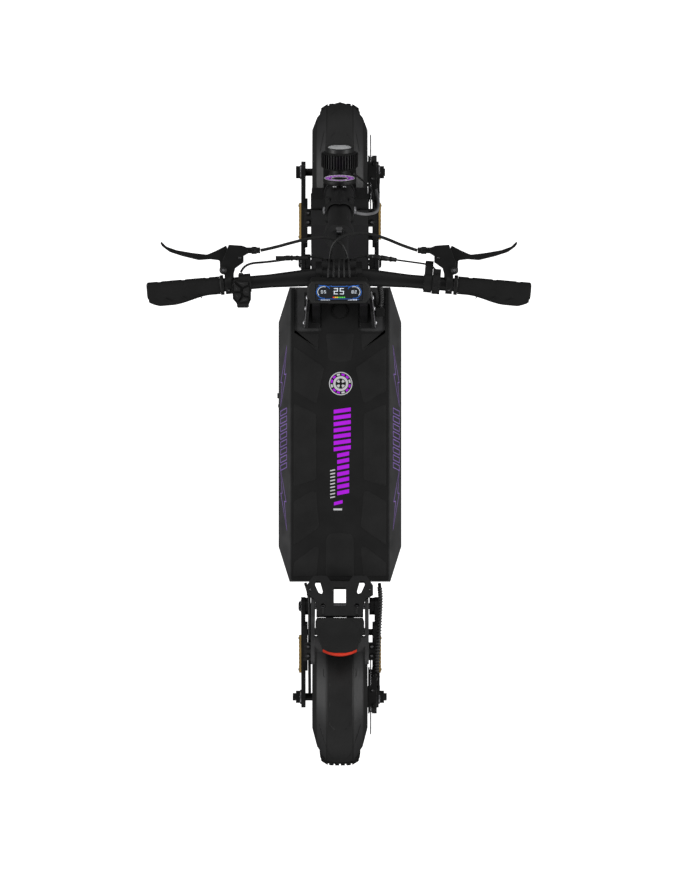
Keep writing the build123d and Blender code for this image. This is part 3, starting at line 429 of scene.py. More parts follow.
def socket_bolt(shape, origin, axis, radius, height, name="black_steel", inner="bolt_steel"):
    """A button-head bolt with a washer and a hexagon socket."""
    place = frame_at(origin, axis)
    washer = [(0, 0.1), (0, radius * 1.28), (0.7, radius * 1.28), (0.7, radius * 1.02)]
    shape.lathe(washer, place, "black_steel", 20)
    dome = [(0.6, radius), (height * 0.55, radius), (height * 0.88, radius * 0.82), (height, radius * 0.58)]
    shape.lathe(dome, place, name, 20)
    mouth = radius * 0.58
    rim = [place(height, mouth * math.cos(math.radians(18 * k)), mouth * math.sin(math.radians(18 * k)))
           for k in range(20)]
    six = [place(height, *hexed(radius * 0.5, 18 * k)) for k in range(20)]
    floor = [place(height * 0.45, *hexed(radius * 0.5, 18 * k)) for k in range(20)]
    shape.skin([rim, six], name, caps=False)
    shape.skin([six, floor], inner, caps=False)
    shape.add(floor, [tuple(range(20))], inner)


def hexed(radius, degrees):
    """A point on a hexagon at an angle."""
    offset = math.radians((degrees % 60) - 30)
    reach = radius * math.cos(math.radians(30)) / math.cos(offset)
    return reach * math.cos(math.radians(degrees)), reach * math.sin(math.radians(degrees))


def ribbon(shape, points, width, name, place, closed=False, lift=0.25):
    """A printed line of a given width through flat points, placed on a surface."""
    pts = [Vector(p) for p in points]
    n = len(pts)
    left, right = [], []
    for i, here in enumerate(pts):
        before = pts[i - 1] if closed or i else here
        after = pts[(i + 1) % n] if closed or i < n - 1 else here
        a, b = (here - before), (after - here)
        a = b.normalized() if a.length < 1e-9 else a.normalized()
        b = a if b.length < 1e-9 else b.normalized()
        normal = Vector((-(a + b).y, (a + b).x))
        normal = normal.normalized() if normal.length > 1e-6 else Vector((-a.y, a.x))
        reach = width / 2 / max(0.5, normal.dot(Vector((-a.y, a.x))))
        left.append(here + normal * reach)
        right.append(here - normal * reach)
    rows = [[place(p.x, p.y, lift), place(q.x, q.y, lift), place(q.x, q.y, -0.3), place(p.x, p.y, -0.3)]
            for p, q in zip(left, right)]
    shape.skin(rows, name, along=closed, caps=not closed)


def patch(shape, outline, name, place, lift=0.25):
    """A flat printed patch placed on a surface."""
    shape.prism(outline, -0.3, lift, name, place)


def curve_cable(name, points, radius, finish_name, body, replaces=()):
    """A smooth round cable through control points, as a curve."""
    data = bpy.data.curves.new(name, "CURVE")
    data.dimensions = "3D"
    data.bevel_depth = radius * MM
    data.bevel_resolution = 5
    data.resolution_u = 16
    data.use_fill_caps = True
    spline = data.splines.new("NURBS")
    spline.points.add(len(points) - 1)
    for point, here in zip(spline.points, points):
        point.co = (here[0] * MM, here[1] * MM, here[2] * MM, 1)
    spline.order_u = 3
    spline.use_endpoint_u = True
    data.materials.append(finish(finish_name))
    obj = bpy.data.objects.new(name, data)
    scene.collection.objects.link(obj)
    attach(obj, body)
    if replaces:
        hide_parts(*replaces)
    return obj


# ---- deck -------------------------------------------------------------------------------------
def dress_mat():
    """The foot mat: a base sheet with raised panels, the plug disc and the printed decoration."""
    half_l, half_w, foot_y = 269.0, 90.0, 190.0
    outline = rounded([(-half_w, -half_l), (half_w, -half_l), (half_w, half_l), (84, half_l), (84, foot_y),
                       (34, foot_y), (34, half_l), (-34, half_l), (-34, foot_y), (-84, foot_y), (-84, half_l),
                       (-half_w, half_l)], 3)
    mat = Shape()
    mat.prism(outline, DECK_TOP_Z, MAT_SHEET_Z, "mat_rubber")
    panels = [
        [(-85.5, 187), (-85.5, 195), (-44, 155), (-40, 157), (-39, 187)],
        [(-85.5, 163), (-29, 123.5), (-30, 119), (-43, 60), (-46, 58), (-85.5, 81)],
        [(-85.5, 57), (-47, 40), (-43.5, 35), (-43.5, -81), (-46, -84), (-85.5, -96)],
        [(-85.5, -124), (-51, -104), (-44, -106), (-38.5, -168), (-41, -173), (-85.5, -205)],
        [(-85.5, -237), (-46, -207), (-39.5, -207), (-39, -214), (-43, -262), (-85.5, -262)],
    ]
    for panel in panels:
        for flip in (1, -1):
            raised_panel(mat, [(flip * x, y) for x, y in panel])
    front = [(-26, 187), (-21.5, 140), (-17, 135.5), (0, 133), (17, 135.5), (21.5, 140), (26, 187)]
    rear = [(-26, -262), (-25, -190), (-20, -184), (0, -181.5), (20, -184), (25, -190), (26, -262)]
    raised_panel(mat, front)
    raised_panel(mat, rear)
    place = lambda x, y, z: Vector((x, y, MAT_SHEET_Z + z))
    plug = [(-0.5, 0.1), (1.3, 0.1), (1.3, 12.2), (0.6, 12.6), (0.6, 13.2), (1.6, 13.6), (1.6, 14.4),
            (-0.5, 14.5)]
    mat.lathe(plug, frame_at((0, 228, MAT_TOP_Z), (0, 0, 1)), "mat_rubber", 40)
    print_roundel(mat, place)
    print_bars(mat, place)
    mat.make("foot_mat", "deck", ["deck_mat"])


def raised_panel(shape, outline):
    """A low panel with a sloping edge."""
    n = len(outline)
    centre = sum((Vector(p) for p in outline), Vector((0, 0))) / n
    rows = []
    for inset, z in ((0.0, -0.4), (0.0, 0.5), (1.3, 0.9)):
        row = []
        for x, y in rounded(outline, 3.5):
            away = (Vector((x, y)) - centre)
            spot = Vector((x, y)) - away.normalized() * inset
            row.append(Vector((spot.x, spot.y, MAT_SHEET_Z + z)))
        rows.append(row)
    shape.skin(rows, "mat_panel", caps=True)


def print_roundel(shape, place):
    """A round decoration: rings and cells in white and purple round a plain dial."""
    cx, cy = 1.5, 94.0
    ring = [arc(cx, cy, r, 0, 360, 60)[:-1] for r in (21.6, 19.9)]
    ring_strip(shape, *ring, "print_white", place)
    for k in range(12):
        start = 30 * k + 5
        cell = arc(cx, cy, 18.6, start, start + 20, 5) + arc(cx, cy, 15.2, start + 20, start, 5)
        patch(shape, cell, "purple_print_painted_glow" if k % 3 else "print_white", place)
    dial = [arc(cx, cy, r, 0, 360, 48)[:-1] for r in (13.9, 9.6)]
    ring_strip(shape, *dial, "print_white", place)
    for k in range(4):
        start = 90 * k + 22.5
        cell = arc(cx, cy, 8.3, start, start + 45, 6) + arc(cx, cy, 3.4, start + 45, start, 6)
        patch(shape, cell, "print_white", place)


def ring_strip(shape, outer, inner, name, place):
    """A flat printed ring."""
    rows = [[place(*o, 0.25), place(*i, 0.25), place(*i, -0.3), place(*o, -0.3)]
            for o, i in zip(outer, inner)]
    shape.skin(rows, name, along=True, caps=False)


def print_bars(shape, place):
    """A column of slanting purple bars with a column of small white dashes beside it."""
    for k in range(14):
        top = 50.0 - 11.6 * k
        left, right = (-11.5, 20) if k < 7 else (-5, 17)
        bar = [(left, top - 11.6), (right, top - 7.2), (right, top), (left, top - 4.4)]
        patch(shape, bar, "purple_print_painted_glow", place)
    for k in range(9):
        top = -64.0 - 6.2 * k
        patch(shape, [(-18, top - 4.2), (-9, top - 2.4), (-9, top), (-18, top - 1.8)], "print_white", place)
    patch(shape, [(-11, -131), (5, -127), (5, -121), (-11, -125)], "purple_print_painted_glow", place)
    patch(shape, [(-12, -140), (4, -140), (4, -136.5), (-12, -136.5)], "print_white", place)


def dress_flanks():
    """Two thin outlined bolts and a row of slanting outlined cells printed along each flank."""
    shape = Shape()
    length = math.hypot(DECK_WIDE_HALF_W - DECK_TOP_HALF_W, DECK_TOP_Z - DECK_WAIST_Z)
    slant = length / (DECK_WIDE_HALF_W - DECK_TOP_HALF_W)
    out = Vector((DECK_TOP_Z - DECK_WAIST_Z, 0, DECK_WIDE_HALF_W - DECK_TOP_HALF_W)) / length
    down = Vector((DECK_WIDE_HALF_W - DECK_TOP_HALF_W, 0, DECK_WAIST_Z - DECK_TOP_Z)) / length
    for side in (-1, 1):
        def place(y, d, h, side=side):
            spot = Vector((DECK_TOP_HALF_W, y, DECK_TOP_Z)) + down * d + out * h
            return Vector((side * spot.x, spot.y, spot.z))
        for sign, tip in ((1, 164), (-1, 176.5)):
            bolt = [(tip, 98.1), (tip - 53, 103), (tip - 52, 99.5), (tip - 112, 110), (tip - 68, 107),
                    (tip - 67.5, 109.6)]
            line = [(sign * y, (x - DECK_TOP_HALF_W) * slant) for y, x in bolt]
            # The outlines glow: painted light.
            ribbon(shape, line, 1.3, "flank_outline_painted_glow", place, closed=True)
        for k in range(8):
            y, lean, high, low = 46.0 - 14.4 * k, 3.0, 14, 44
            cell = [(y + lean, high), (y - 9 + lean, high), (y - 9 - lean, low), (y - lean, low)]
            ribbon(shape, cell, 1.3, "flank_outline_painted_glow", place, closed=True)
    shape.make("flank_print", "deck", ())


def dress_deck_bolts():
    """Button heads of the neck brackets, and the caps of the pivot bolts."""
    shape = Shape()
    for side in (-1, 1):
        for y in (206, 232, 252):
            x = 66 - (y - 196) * 8 / 66 - 0.3
            socket_bolt(shape, (side * x, y, DECK_TOP_Z + 16), (side, 0, 0.12), 4.8, 4.4,
                        "bolt_steel", "black_steel")
        pivot_cap(shape, side, -1)
    shape.tube([(-ARM_X1, -PIVOT_Y, PIVOT_Z), (ARM_X1, -PIVOT_Y, PIVOT_Z)], 6, "bolt_steel", 20)
    shape.make("deck_bolt_set", "deck", ["deck_bolts"])


def pivot_cap(shape, side, end):
    """The socket cap of a swingarm pivot."""
    socket_bolt(shape, (side * (ARM_X1 + 0.3), end * PIVOT_Y, PIVOT_Z), (side, 0, 0), 9.2, 4.6)


# ---- wheels -----------------------------------------------------------------------------------
def about_axle(end):
    """Places (x, radius, degrees from straight ahead) about the front (1) or rear (-1) axle."""
    def place(x, r, degrees):
        a = math.radians(degrees)
        return Vector((x, end * (AXLE_Y + r * math.cos(a)), AXLE_Z + r * math.sin(a)))
    return place


def add_tyre(end, body, node):
    """A road tyre with blocks across its crown and slanting shoulder blocks."""
    place = about_axle(end)
    outer = [(21, 80), (27, 80.2), (34, 88), (37, 97), (38, 104), (37, 112), (33, 119.5), (26, 123.6),
             (14, 124.6), (0, 124.8)]
    profile = outer + [(-x, r) for x, r in reversed(outer[:-1])]
    shape = Shape()
    steps = 96
    rows = [[place(x, r, 360 * i / steps) for x, r in profile] for i in range(steps)]
    shape.skin(rows, "tyre_rubber", along=True)
    pitch = 360 / 54
    for i in range(54):
        a = pitch * i
        for side in (-1, 1):
            centre_block = [(side * 1.2, 0.06), (side * 9.5, 0.22), (side * 9.5, 0.90), (side * 1.2, 0.74)]
            middle = [(side * 11.4, 0.30), (side * 20.5, 0.10), (side * 20.5, 0.72), (side * 11.4, 0.94)]
            tread_block(shape, place, [(x, a + pitch * t) for x, t in centre_block], 127.9, 127.9)
            tread_block(shape, place, [(x, a + pitch * t) for x, t in middle], 127.8, 127.4)
            shoulder = [(side * 22.4, 0.16), (side * 35.5, 0.42), (side * 35.5, 0.98), (side * 22.4, 0.76)]
            tread_block(shape, place, [(x, a + pitch * t) for x, t in shoulder], 127.0, 119.5)
    for side in (-1, 1):
        for r in (93.0, 97.0):
            shape.skin([[place(side * (37.2 if r > 95 else 36.2), r + 0.6 * math.cos(k), 360 * i / 72)
                         + Vector((side * 0.6 * math.sin(k), 0, 0)) for k in (0, 1.57, 3.14, 4.71)]
                        for i in range(72)], "tyre_rubber", along=True)
    shape.make(f"{body}_tread", body, [node], sharp=28)


def tread_block(shape, place, corners, inner_r, outer_r):
    """One tread block; its top falls from one radius near the middle to another near the shoulder."""
    xs = [abs(x) for x, _ in corners]
    low, high = min(xs), max(xs)
    radius = lambda x: inner_r + (outer_r - inner_r) * (abs(x) - low) / (high - low)
    base = [place(x, radius(x) - 5, a) for x, a in corners]
    top = []
    cx = sum(x for x, _ in corners) / 4
    ca = sum(a for _, a in corners) / 4
    for x, a in corners:
        top.append(place(cx + (x - cx) * 0.92, radius(x), ca + (a - ca) * 0.9))
    shape.skin([base, top], "tyre_rubber")


def add_rim(end, body, node, spokes):
    """A cast rim with six spokes, or the closed drum of a hub motor."""
    place = about_axle(end)
    shape = Shape()
    rim = [(28, 80), (28, 77), (24, 73), (0, 71.5), (-24, 73), (-28, 77), (-28, 80), (0, 79)]
    shape.skin([[place(x, r, 360 * i / 96) for x, r in rim] for i in range(96)], "rim_paint", along=True)
    axis = frame_at((0, end * AXLE_Y, AXLE_Z), (1, 0, 0))
    if spokes:
        for k in range(spokes):
            a = 360 * k / spokes + 10
            root = [place(x, 24, a + d) for x, d in ((-15, -30), (15, -30), (15, 30), (-15, 30))]
            tip = [place(x, 73, a + d) for x, d in ((-18, -9), (18, -9), (18, 9), (-18, 9))]
            shape.skin([root, tip], "rim_paint")
        shape.lathe([(-30, 8), (-30, 32), (-26, 34), (26, 34), (30, 32), (30, 8)], axis, "rim_paint", 48)
    else:
        drum = [(-32, 12), (-32, 50), (-29, 60), (-22, 63), (-12, 64), (-10, 72),
                (10, 72), (12, 64), (22, 63), (29, 60), (32, 50), (32, 12)]
        shape.lathe(drum, axis, "rim_paint", 64)
        for side in (-1, 1):
            for k in range(6):
                spot = place(side * 31.6, 46, 60 * k + 20)
                socket_bolt(shape, spot, (side, 0, 0), 3.0, 2.6)
    shape.lathe([(-50, 7.2), (-50, 17), (-46, 20), (56, 20), (56, 7.2)], axis, "rim_paint", 36)
    valve = place(22, 73, 200)
    shape.tube([valve, valve + Vector((8, 0, 4))], 2.6, "black_steel", 10)
    shape.make(f"{body}_rim", body, [node])


def add_rotor(end, body, node):
    """A brake disc with a holed brake band, curved arms and its bolts."""
    place = about_axle(end)
    shape = Shape()
    n = 120
    edges = [70 - (1.2 if i % 10 < 2 else 0) for i in range(n)]
    band = [[place(x, r, 360 * i / n) for x, r in ((56, edge), (58, edge), (58, 55), (56, 55))]
            for i, edge in enumerate(edges)]
    shape.skin(band, "disc_steel", along=True)
    for k in range(6):
        a = 60 * k
        arm = [[place(x, r, a + turn + d) for x, d in ((56.1, -w), (57.9, -w), (57.9, w), (56.1, w))]
               for r, turn, w in ((20, 0, 12), (30, 6, 6), (42, 13, 4), (56, 18, 4))]
        shape.skin(arm, "disc_steel")
        socket_bolt(shape, place(57.8, 23, a), (1, 0, 0), 2.8, 1.8)
    axis = frame_at((0, end * AXLE_Y, AXLE_Z), (1, 0, 0))
    shape.lathe([(56, 11), (56, 28), (58, 28), (58, 11)], axis, "disc_steel", 40)
    shape.make(f"{body}_disc", body, [node])


# The narrow bands at the two folds take the painted crease shade.
FENDER_STATIONS = [(0, 142, "fender_top"), (9, 142.3, "fender_top"), (23, 141.6, "fender_top"),
                   (25.2, 140.6, "fender_crease_shade"), (26.2, 140.4, "fender_side"), (42, 132.4, "fender_side"),
                   (43.6, 131.2, "fender_crease_shade"), (51, 116, "fender_flank"), (51, 94, "fender_flank")]


def add_fender(end, body, node, nose, creases):
    """A faceted mudguard with creases along it and over it, darkened with painted shade, cut to its nose."""
    place = about_axle(end)
    shape = Shape()
    back, front = 139.0, 27.0
    steps = 48

    def reach(x):
        """How far forward the nose lets this station run."""
        pts = sorted((px, py) for px, py in nose)
        for (x0, y0), (x1, y1) in zip(pts, pts[1:]):
            if x0 <= x <= x1:
                return y0 + (y1 - y0) * (x - x0) / (x1 - x0)
        return pts[0][1] if x < pts[0][0] else pts[-1][1]

    def column(x, r, side):
        """Points along one station, from the back end to the nose."""
        limit = (reach(x) - AXLE_Y) / r
        stop = max(front, math.degrees(math.acos(max(-1, min(1, limit)))))
        return [place(side * x, r, back + (stop - back) * i / steps) for i in range(steps + 1)]

    for side in (-1, 1):
        for (x0, r0, _), (x1, r1, name) in zip(FENDER_STATIONS, FENDER_STATIONS[1:]):
            top = [column(x0, r0, side), column(x1, r1, side)]
            low = [column(x0, r0 - 3, side), column(x1, r1 - 3, side)]
            if x1 == x0:
                low = [column(x0 - 3, r0, side), column(x1 - 3, r1, side)]
            elif x1 == 51:
                low = [column(x0 - 1, r0 - 3, side), column(x1 - 3, r1, side)]
            shape.skin([[a, b, c, d] for a, b, c, d in zip(top[0], top[1], low[1], low[0])], name)
    # Crease lines: thin tubes in the painted crease shade.
    for crease in creases:
        for side in (-1, 1):
            line = [over_fender(side * x, end * y) for x, y in crease]
            shape.tube(line, 0.7, "fender_crease_shade", 6)
    for side in (-1, 1):
        shape.prism(oblong(side * 42, side * 66, 383, 416), 221, 224, "fender_side",
                    lambda x, y, z: Vector((x, end * y, z)))
        for y in (391, 408):
            socket_bolt(shape, (side * 59, end * y, 224), (0, 0, 1), 4.4, 3.4)
    shape.make(f"{body}_fender", body, [node], sharp=22)


def over_fender(x, y):
    """The point of the mudguard's skin above (x, y)."""
    radius = FENDER_STATIONS[0][1]
    for (x0, r0, _), (x1, r1, _) in zip(FENDER_STATIONS, FENDER_STATIONS[1:]):
        if x0 <= abs(x) < x1:
            radius = r0 + (r1 - r0) * (abs(x) - x0) / (x1 - x0)
    away = abs(y) - AXLE_Y
    return Vector((x, y, AXLE_Z + math.sqrt(max(0.0, radius**2 - away**2))))


FRONT_NOSE = [(60, 540), (49, 566), (40, 590), (24, 606), (0, 615)]
REAR_NOSE = [(60, 520), (51, 540), (38, 590), (19, 605), (0, 605)]
FRONT_CREASES = [[(36, 520), (33, 536), (31, 548), (24, 572), (14, 592), (0, 602)], [(17, 545.5), (9, 554.6)],
                 [(25.5, 525), (25.5, 539)]]
REAR_CREASES = [[(38, 533), (31, 556), (24, 577), (19, 590), (12, 598)],
                [(30, 430.7), (30, 443), (18.5, 456.6), (18.5, 495), (18.5, 533), (10, 542.6)]]


def add_springs(end, body, node, other):
    """Twin coil springs wound round their guide rods, baked in place and riding on no body."""
    for side in (-1, 1):
        low, high = Vector((side * 19, end * 352, 214)), Vector((side * 19, end * 383, 294))
        axis = (high - low).normalized()
        length = (high - low).length
        place = frame_at(low, axis)
        shape = Shape()
        turns, per = 5.5, 20
        path = []
        for i in range(int(turns * per) + 1):
            a = 2 * math.pi * i / per
            path.append(place(3 + (length - 6) * i / (turns * per), 11.2 * math.cos(a), 11.2 * math.sin(a)))
        shape.tube(path, 2.7, "spring_steel", 8)
        rod = [(0, 0.5), (0, 13.6), (2.5, 13.6), (2.5, 7), (20, 7), (20, 5), (length - 3, 5),
               (length - 3, 13.6), (length, 13.6), (length, 0.5)]
        shape.lathe(rod, place, "black_steel", 24)
        obj = shape.make(f"{body}_spring_{'left' if side < 0 else 'right'}", other, ())
        obj.parent = None
        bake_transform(obj)
        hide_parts(node)


# ---- tail -------------------------------------------------------------------------------------
def on_tail(x, y, z):
    """A point of the rising tail plate, y 0 at its front edge."""
    return tilted(x, y, z, -34.3, -259, 237)


def on_light(x, y, z):
    """A point of the tail light's cover, y 0 at its front edge."""
    return tilted(x, y, z, -16, -349.5, 312)


def dress_tail():
    """Creases on the tail light's cover as dark strips of painted shade, feet and screws of the kick plate,
    and the curved lens.
    """
    shape = Shape()
    for side in (-1, 1):
        crease = [(side * 20, 13), (side * 37, -8), (side * 38, -18)]
        # The cover's creases: dark strips of painted shade.
        ribbon(shape, crease, 1.2, "fender_crease_shade", on_light, lift=2.3)
        foot = [(side * x, y) for x, y in ((29, -74), (33, -74), (33, -86), (29, -86))]
        patch(shape, foot, "bezel", on_tail, lift=1.4)
        socket_bolt(shape, on_tail(side * 55, -32, 0), on_tail(0, 0, 1) - on_tail(0, 0, 0), 2.6, 2.0)
    shape.make("tail_details", "deck", ())
    lens = Shape()
    rows = []
    for k in range(25):
        u = 2 * k / 24 - 1
        x, y = 31 * u, -51 + 7 * u * u
        thick = 4.8 - 1.2 * u * u
        rows.append([on_light(x, y, 0.6), on_light(x, y - thick * 0.6, 0.2), on_light(x, y - thick, -2.5),
                     on_light(x, y - thick + 0.6, -8.6), on_light(x, y, -8.8)])
    lens.skin(rows, "red_lens")
    lens.make("tail_lens", "deck", ["taillight_lens"], sharp=50)


# ---- fork and stem ----------------------------------------------------------------------------
def dress_lamp():
    """The lamp: its rim, ribbed body, bracket and screw, and the lens with its flutes."""
    shape = Shape()
    place = lambda along, across, up: steered(across, along, LAMP_S + up)
    shape.lathe([(70, 26.2), (77.4, 26.2), (78.2, 25), (78.2, 23.2), (76.4, 22.5), (70, 22.5)], place,
                "bezel", 56)
    socket_bolt(shape, steered(0, 31, LAMP_S + 32), steered(0, 1, 0.3) - steered(0, 0, 0), 3.2, 2.6)
    body = [(26, 0.1), (26, 18), (38, 18), (39, 28), (42, 30), (68, 30), (70, 28), (70.5, 26.2), (70.5, 0.1)]
    shape.lathe(body, place, "black_plastic", 64)
    for k in range(40):
        a = 2 * math.pi * k / 40
        out, flat = (math.cos(a), math.sin(a)), (-math.sin(a), math.cos(a))
        rib = [(41, 29, 1.2), (43, 33.5, 0.8), (67, 33.5, 0.8), (69, 29, 1.2)]
        rows = [[place(along, out[0] * q + flat[0] * w * j, out[1] * q + flat[1] * w * j)
                 for q, j in ((26, -1), (r, -1), (r, 1), (26, 1))] for along, r, w in rib]
        shape.skin(rows, "black_plastic")
    bracket = [(-13, LAMP_S - 14), (13, LAMP_S - 14), (13, 143.8), (-13, 143.8)]
    shape.prism(bracket, 25.6, 31, "black_plastic", lambda x, s, f: steered(x, f, s))
    shape.make("lamp_body", "fork", ["headlight_housing"])
    lens = Shape()
    glass = [(66, 22.4), (76.2, 22.3), (77.2, 19), (77.5, 12), (77.6, 0.1), (66, 0.1)]
    lens.lathe(glass, place, "lamp_glass", 56)
    for k in range(9):
        up = -18 + 4.5 * k
        half = math.sqrt(max(0, 21.0**2 - up**2))
        lens.tube([place(77.6, -half, up), place(77.6, half, up)], 0.5, "lamp_glass", 6)
    lens.make("lamp_lens", "fork", ["headlight_lens"])


def dress_badge():
    """A round blank badge with a purple ring broken into dashes."""
    shape = Shape()
    place = lambda along, across, up: steered(across, along, BADGE_S + up)
    dish = [(28, 0.1), (28, 28.5), (30, 29.5), (34.6, 29.5), (36, 28), (36.2, 26.6), (35.2, 26), (35.2, 0.1)]
    shape.lathe(dish, place, "black_plastic", 64)
    shape.lathe([(35.0, 27.6), (36.6, 27.2), (36.6, 26.2), (35.0, 25.8)], place, "print_white", 64)
    # The purple ring glows: painted light.
    shape.lathe([(34.5, 25.2), (35.7, 25.0), (35.7, 17.4), (34.5, 17.0)], place, "purple_print_painted_glow", 64)
    for k in range(16):
        a = 22.5 * k + 4
        cell = arc(0, 0, 22.4, a, a + 9, 3) + arc(0, 0, 20.0, a + 9, a, 3)
        shape.prism(cell, 35.3, 36.0, "print_white", lambda x, y, z: place(z, x, y))
    shape.lathe([(34.8, 15.8), (36.0, 15.6), (36.0, 14.2), (34.8, 14.0)], place, "print_white", 48)
    for side in (-1, 1):
        socket_bolt(shape, steered(side * 9, 27.4, BADGE_S + 40), steered(0, 1, 0) - steered(0, 0, 0),
                    3.8, 2.8, "bolt_steel", "black_steel")
    shape.tube([steered(0, 24.5, BADGE_S + 5), steered(0, 30, BADGE_S + 5)], 12, "black_plastic", 24)
    shape.make("badge", "fork", ["front_badge"])


def dress_fold():
    """Bright domed ends of the fold pin, and the front pivot's caps."""
    shape = Shape()
    for side in (-1, 1):
        socket_bolt(shape, steered(side * 25.6, 0, FOLD_S), (side, 0, 0), 7.4, 4.4,
                    "bolt_steel", "black_steel")
        pivot_cap(shape, side, 1)
    shape.tube([steered(-25.8, 0, FOLD_S), steered(25.8, 0, FOLD_S)], 5, "bolt_steel", 20)
    shape.tube([(-ARM_X1, PIVOT_Y, PIVOT_Z), (ARM_X1, PIVOT_Y, PIVOT_Z)], 6, "bolt_steel", 20)
    shape.make("fork_pin_set", "fork", ["fork_pins"])


def dress_latch():
    """The bright release lever on the stem."""
    shape = Shape()
    rows = []
    for s, w, low, high in ((541, 4.8, 20, 22.6), (543, 6, 19.9, 23.6), (551, 5.6, 19.9, 23.6),
                            (556, 3.6, 19.6, 23.2), (569, 3.4, 19.4, 22.8), (574, 3.2, 18.6, 22.4)):
        rows.append([steered(-w, low, s), steered(w, low, s),
                     steered(w * 0.8, high, s), steered(-w * 0.8, high, s)])
    shape.skin(rows, "bare_aluminium")
    shape.tube([steered(-7, 20.5, 572), steered(7, 20.5, 572)], 2.2, "bolt_steel", 12)
    shape.make("release_lever", "latch", ["fold_latch"], bevel=0.5)


# ---- handlebar --------------------------------------------------------------------------------
def add_grips():
    """Rubber grips: a lock ring, a ribbed barrel with finger notches, and a palm wing."""
    for side in (-1, 1):
        shape = Shape()
        place = lambda t, across, up, side=side: on_bar(side, t, across, up)
        ring = [(153.5, 11.4), (153.5, 16.2), (154.2, 16.6), (158.6, 16.6), (159.5, 16.0), (159.5, 11.4)]
        shape.lathe(ring, place, "black_steel", 40)
        rows = []
        stations = 61
        for i in range(stations):
            t = 160 + (281 - 160) * i / (stations - 1)
            notch = 1.0 if i % 20 in (9, 10, 11) and 8 < i < 54 else 0.0
            rise = min(1.0, max(0.0, (t - 176) / 66))
            fade = rise * rise * (3 - 2 * rise) * math.sqrt(min(1.0, max(0.0, (283 - t) / 20)))
            row = []
            for k in range(40):
                a = 2 * math.pi * k / 40
                behind = max(0.0, -math.cos(a))
                r = 15.0 - 0.9 * notch * max(0.0, math.cos(a))
                wing = 11.6 * fade * behind**2.2
                flat = 1 - 0.42 * fade * behind**2
                row.append(place(t, (r + wing) * math.cos(a), r * flat * math.sin(a)))
            rows.append(row)
        shape.skin(rows, "grip_rubber")
        for row in (0, 1, 2):
            line = [(196 + 5 * math.sin(u * 5) + row * 26, -2 - 20 * u - row * 2)
                    for u in (0.1, 0.3, 0.5, 0.7, 0.9)]
            shape.tube([place(t, y, 10.6 - abs(y) * 0.12) for t, y in line], 0.7, "grip_rubber", 6)
        cap = [(280.6, 14.4), (282.4, 13.4), (283, 11), (283, 0.1)]
        shape.lathe(cap, place, "grip_rubber", 32, closed=False)
        shape.make(f"grip_{'left' if side < 0 else 'right'}", "stem", ["grips"], sharp=45)


LEVER_OUTLINE = [(188, 270), (199, 270), (200, 292), (215.6, 294), (235, 292.5), (262, 299), (283.5, 306),
                 (296, 315), (299.6, 321), (297.5, 323.5), (289, 315), (272, 309), (246, 304.5), (221, 301.5),
                 (206, 308), (188.5, 317), (184, 300)]


def add_levers():
    """Forged brake levers with rounded blades and a bright pivot bolt in each perch."""
    for side, body, node in ((-1, "left_lever", "brake_lever_left"), (1, "right_lever", "brake_lever_right")):
        shape = Shape()
        blade = rounded([(side * x, y) for x, y in LEVER_OUTLINE], 2.5)
        shape.prism(blade, BAR_Z - 5.2, BAR_Z + 5.2, "black_steel")
        shape.lathe([(-5.2, 3.1), (-5.2, 6.5), (5.2, 6.5), (5.2, 3.1)],
                    frame_at((side * LEVER_PIVOT[0], LEVER_PIVOT[1], BAR_Z), (0, 0, 1)), "black_steel", 28)
        shape.make(f"{body}_blade", body, [node], bevel=1.8, segments=3)
    shape = Shape()
    for side in (-1, 1):
        socket_bolt(shape, (side * LEVER_PIVOT[0], LEVER_PIVOT[1], BAR_Z + 13.4), (0, 0, 1), 5.2, 2.6)
        socket_bolt(shape, (side * 166, 296, BAR_Z + 10.4), (0, 0, 1), 2.4, 1.8)
        barrel = frame_at((side * 132, 308.8, BAR_Z), (side, 0, 0))
        knurl = [(0, 3.4), (0, 5), (6, 5), (6, 6.2)]
        for k in range(5):
            knurl += [(6.3 + 1.6 * k, 6.4), (6.9 + 1.6 * k, 5.7)]
        shape.lathe(knurl + [(14.4, 6.2), (14.4, 5), (22, 5), (22, 3.4)], barrel, "black_steel", 28)
        socket_bolt(shape, on_bar(side, 145.5, -10, 13), (0, -0.4, 1), 2.8, 2.2)
    shape.make("perch_bolts", "stem", ())


POD_TOP = BAR_Z + 21


def dress_pod():
    """A raised border round the button pod, and small marks on its buttons."""
    shape = Shape()
    place = lambda x, y, z: Vector((-x, y, POD_TOP + z))
    shape.prism(rounded([(149.6, 213.6), (169, 213.6), (169.8, 218), (152, 219)], 1), -1, 0.8,
                "button_plastic", place)
    socket_bolt(shape, (-174.8, 252.2, POD_TOP - 0.2), (0, 0, 1), 1.8, 1.2)
    shape.make("pod_border", "stem", ())
    marks = {
        "button_1_body": [(158, 251.4), (166, 253)],
        "button_2_body": [(170.4, 242), (172.4, 246)],
        "button_3_body": [(169.2, 229.6), (171.8, 233)],
        "button_4_body": [(152.4, 238), (157.4, 238.8)],
        "button_5_body": [(154.6, 225.4), (160.6, 224.4)],
    }
    for body, line in marks.items():
        mark = Shape()
        on_cap = lambda x, y, z: Vector((-x, y, POD_TOP + 2.4 + z))
        ribbon(mark, line, 0.6, "wrap_grey", on_cap, lift=0.12)
        mark.make(f"{body}_mark", body, ())


def dress_throttle():
    """The throttle's clamp screw and a split line round its ring."""
    shape = Shape()
    for t in (119.5, 127.5):
        shape.lathe([(t, 17.9), (t, 18.4), (t + 0.8, 18.4), (t + 0.8, 17.9)],
                    lambda a, b, c: on_bar(1, a, b, c), "black_plastic", 44)
    socket_bolt(shape, on_bar(1, 123.5, 14, 8), (0, 0, 1), 2.6, 2.2)
    shape.make("throttle_details", "stem", ())


# ---- display ----------------------------------------------------------------------------------
SEGMENTS = {"0": "abcdef", "2": "abged", "5": "afgcd", "8": "abcdefg"}


def on_display(x, y, z):
    """A point of the tilted display."""
    return tilted(x, y, z, 28, 241, 1141)


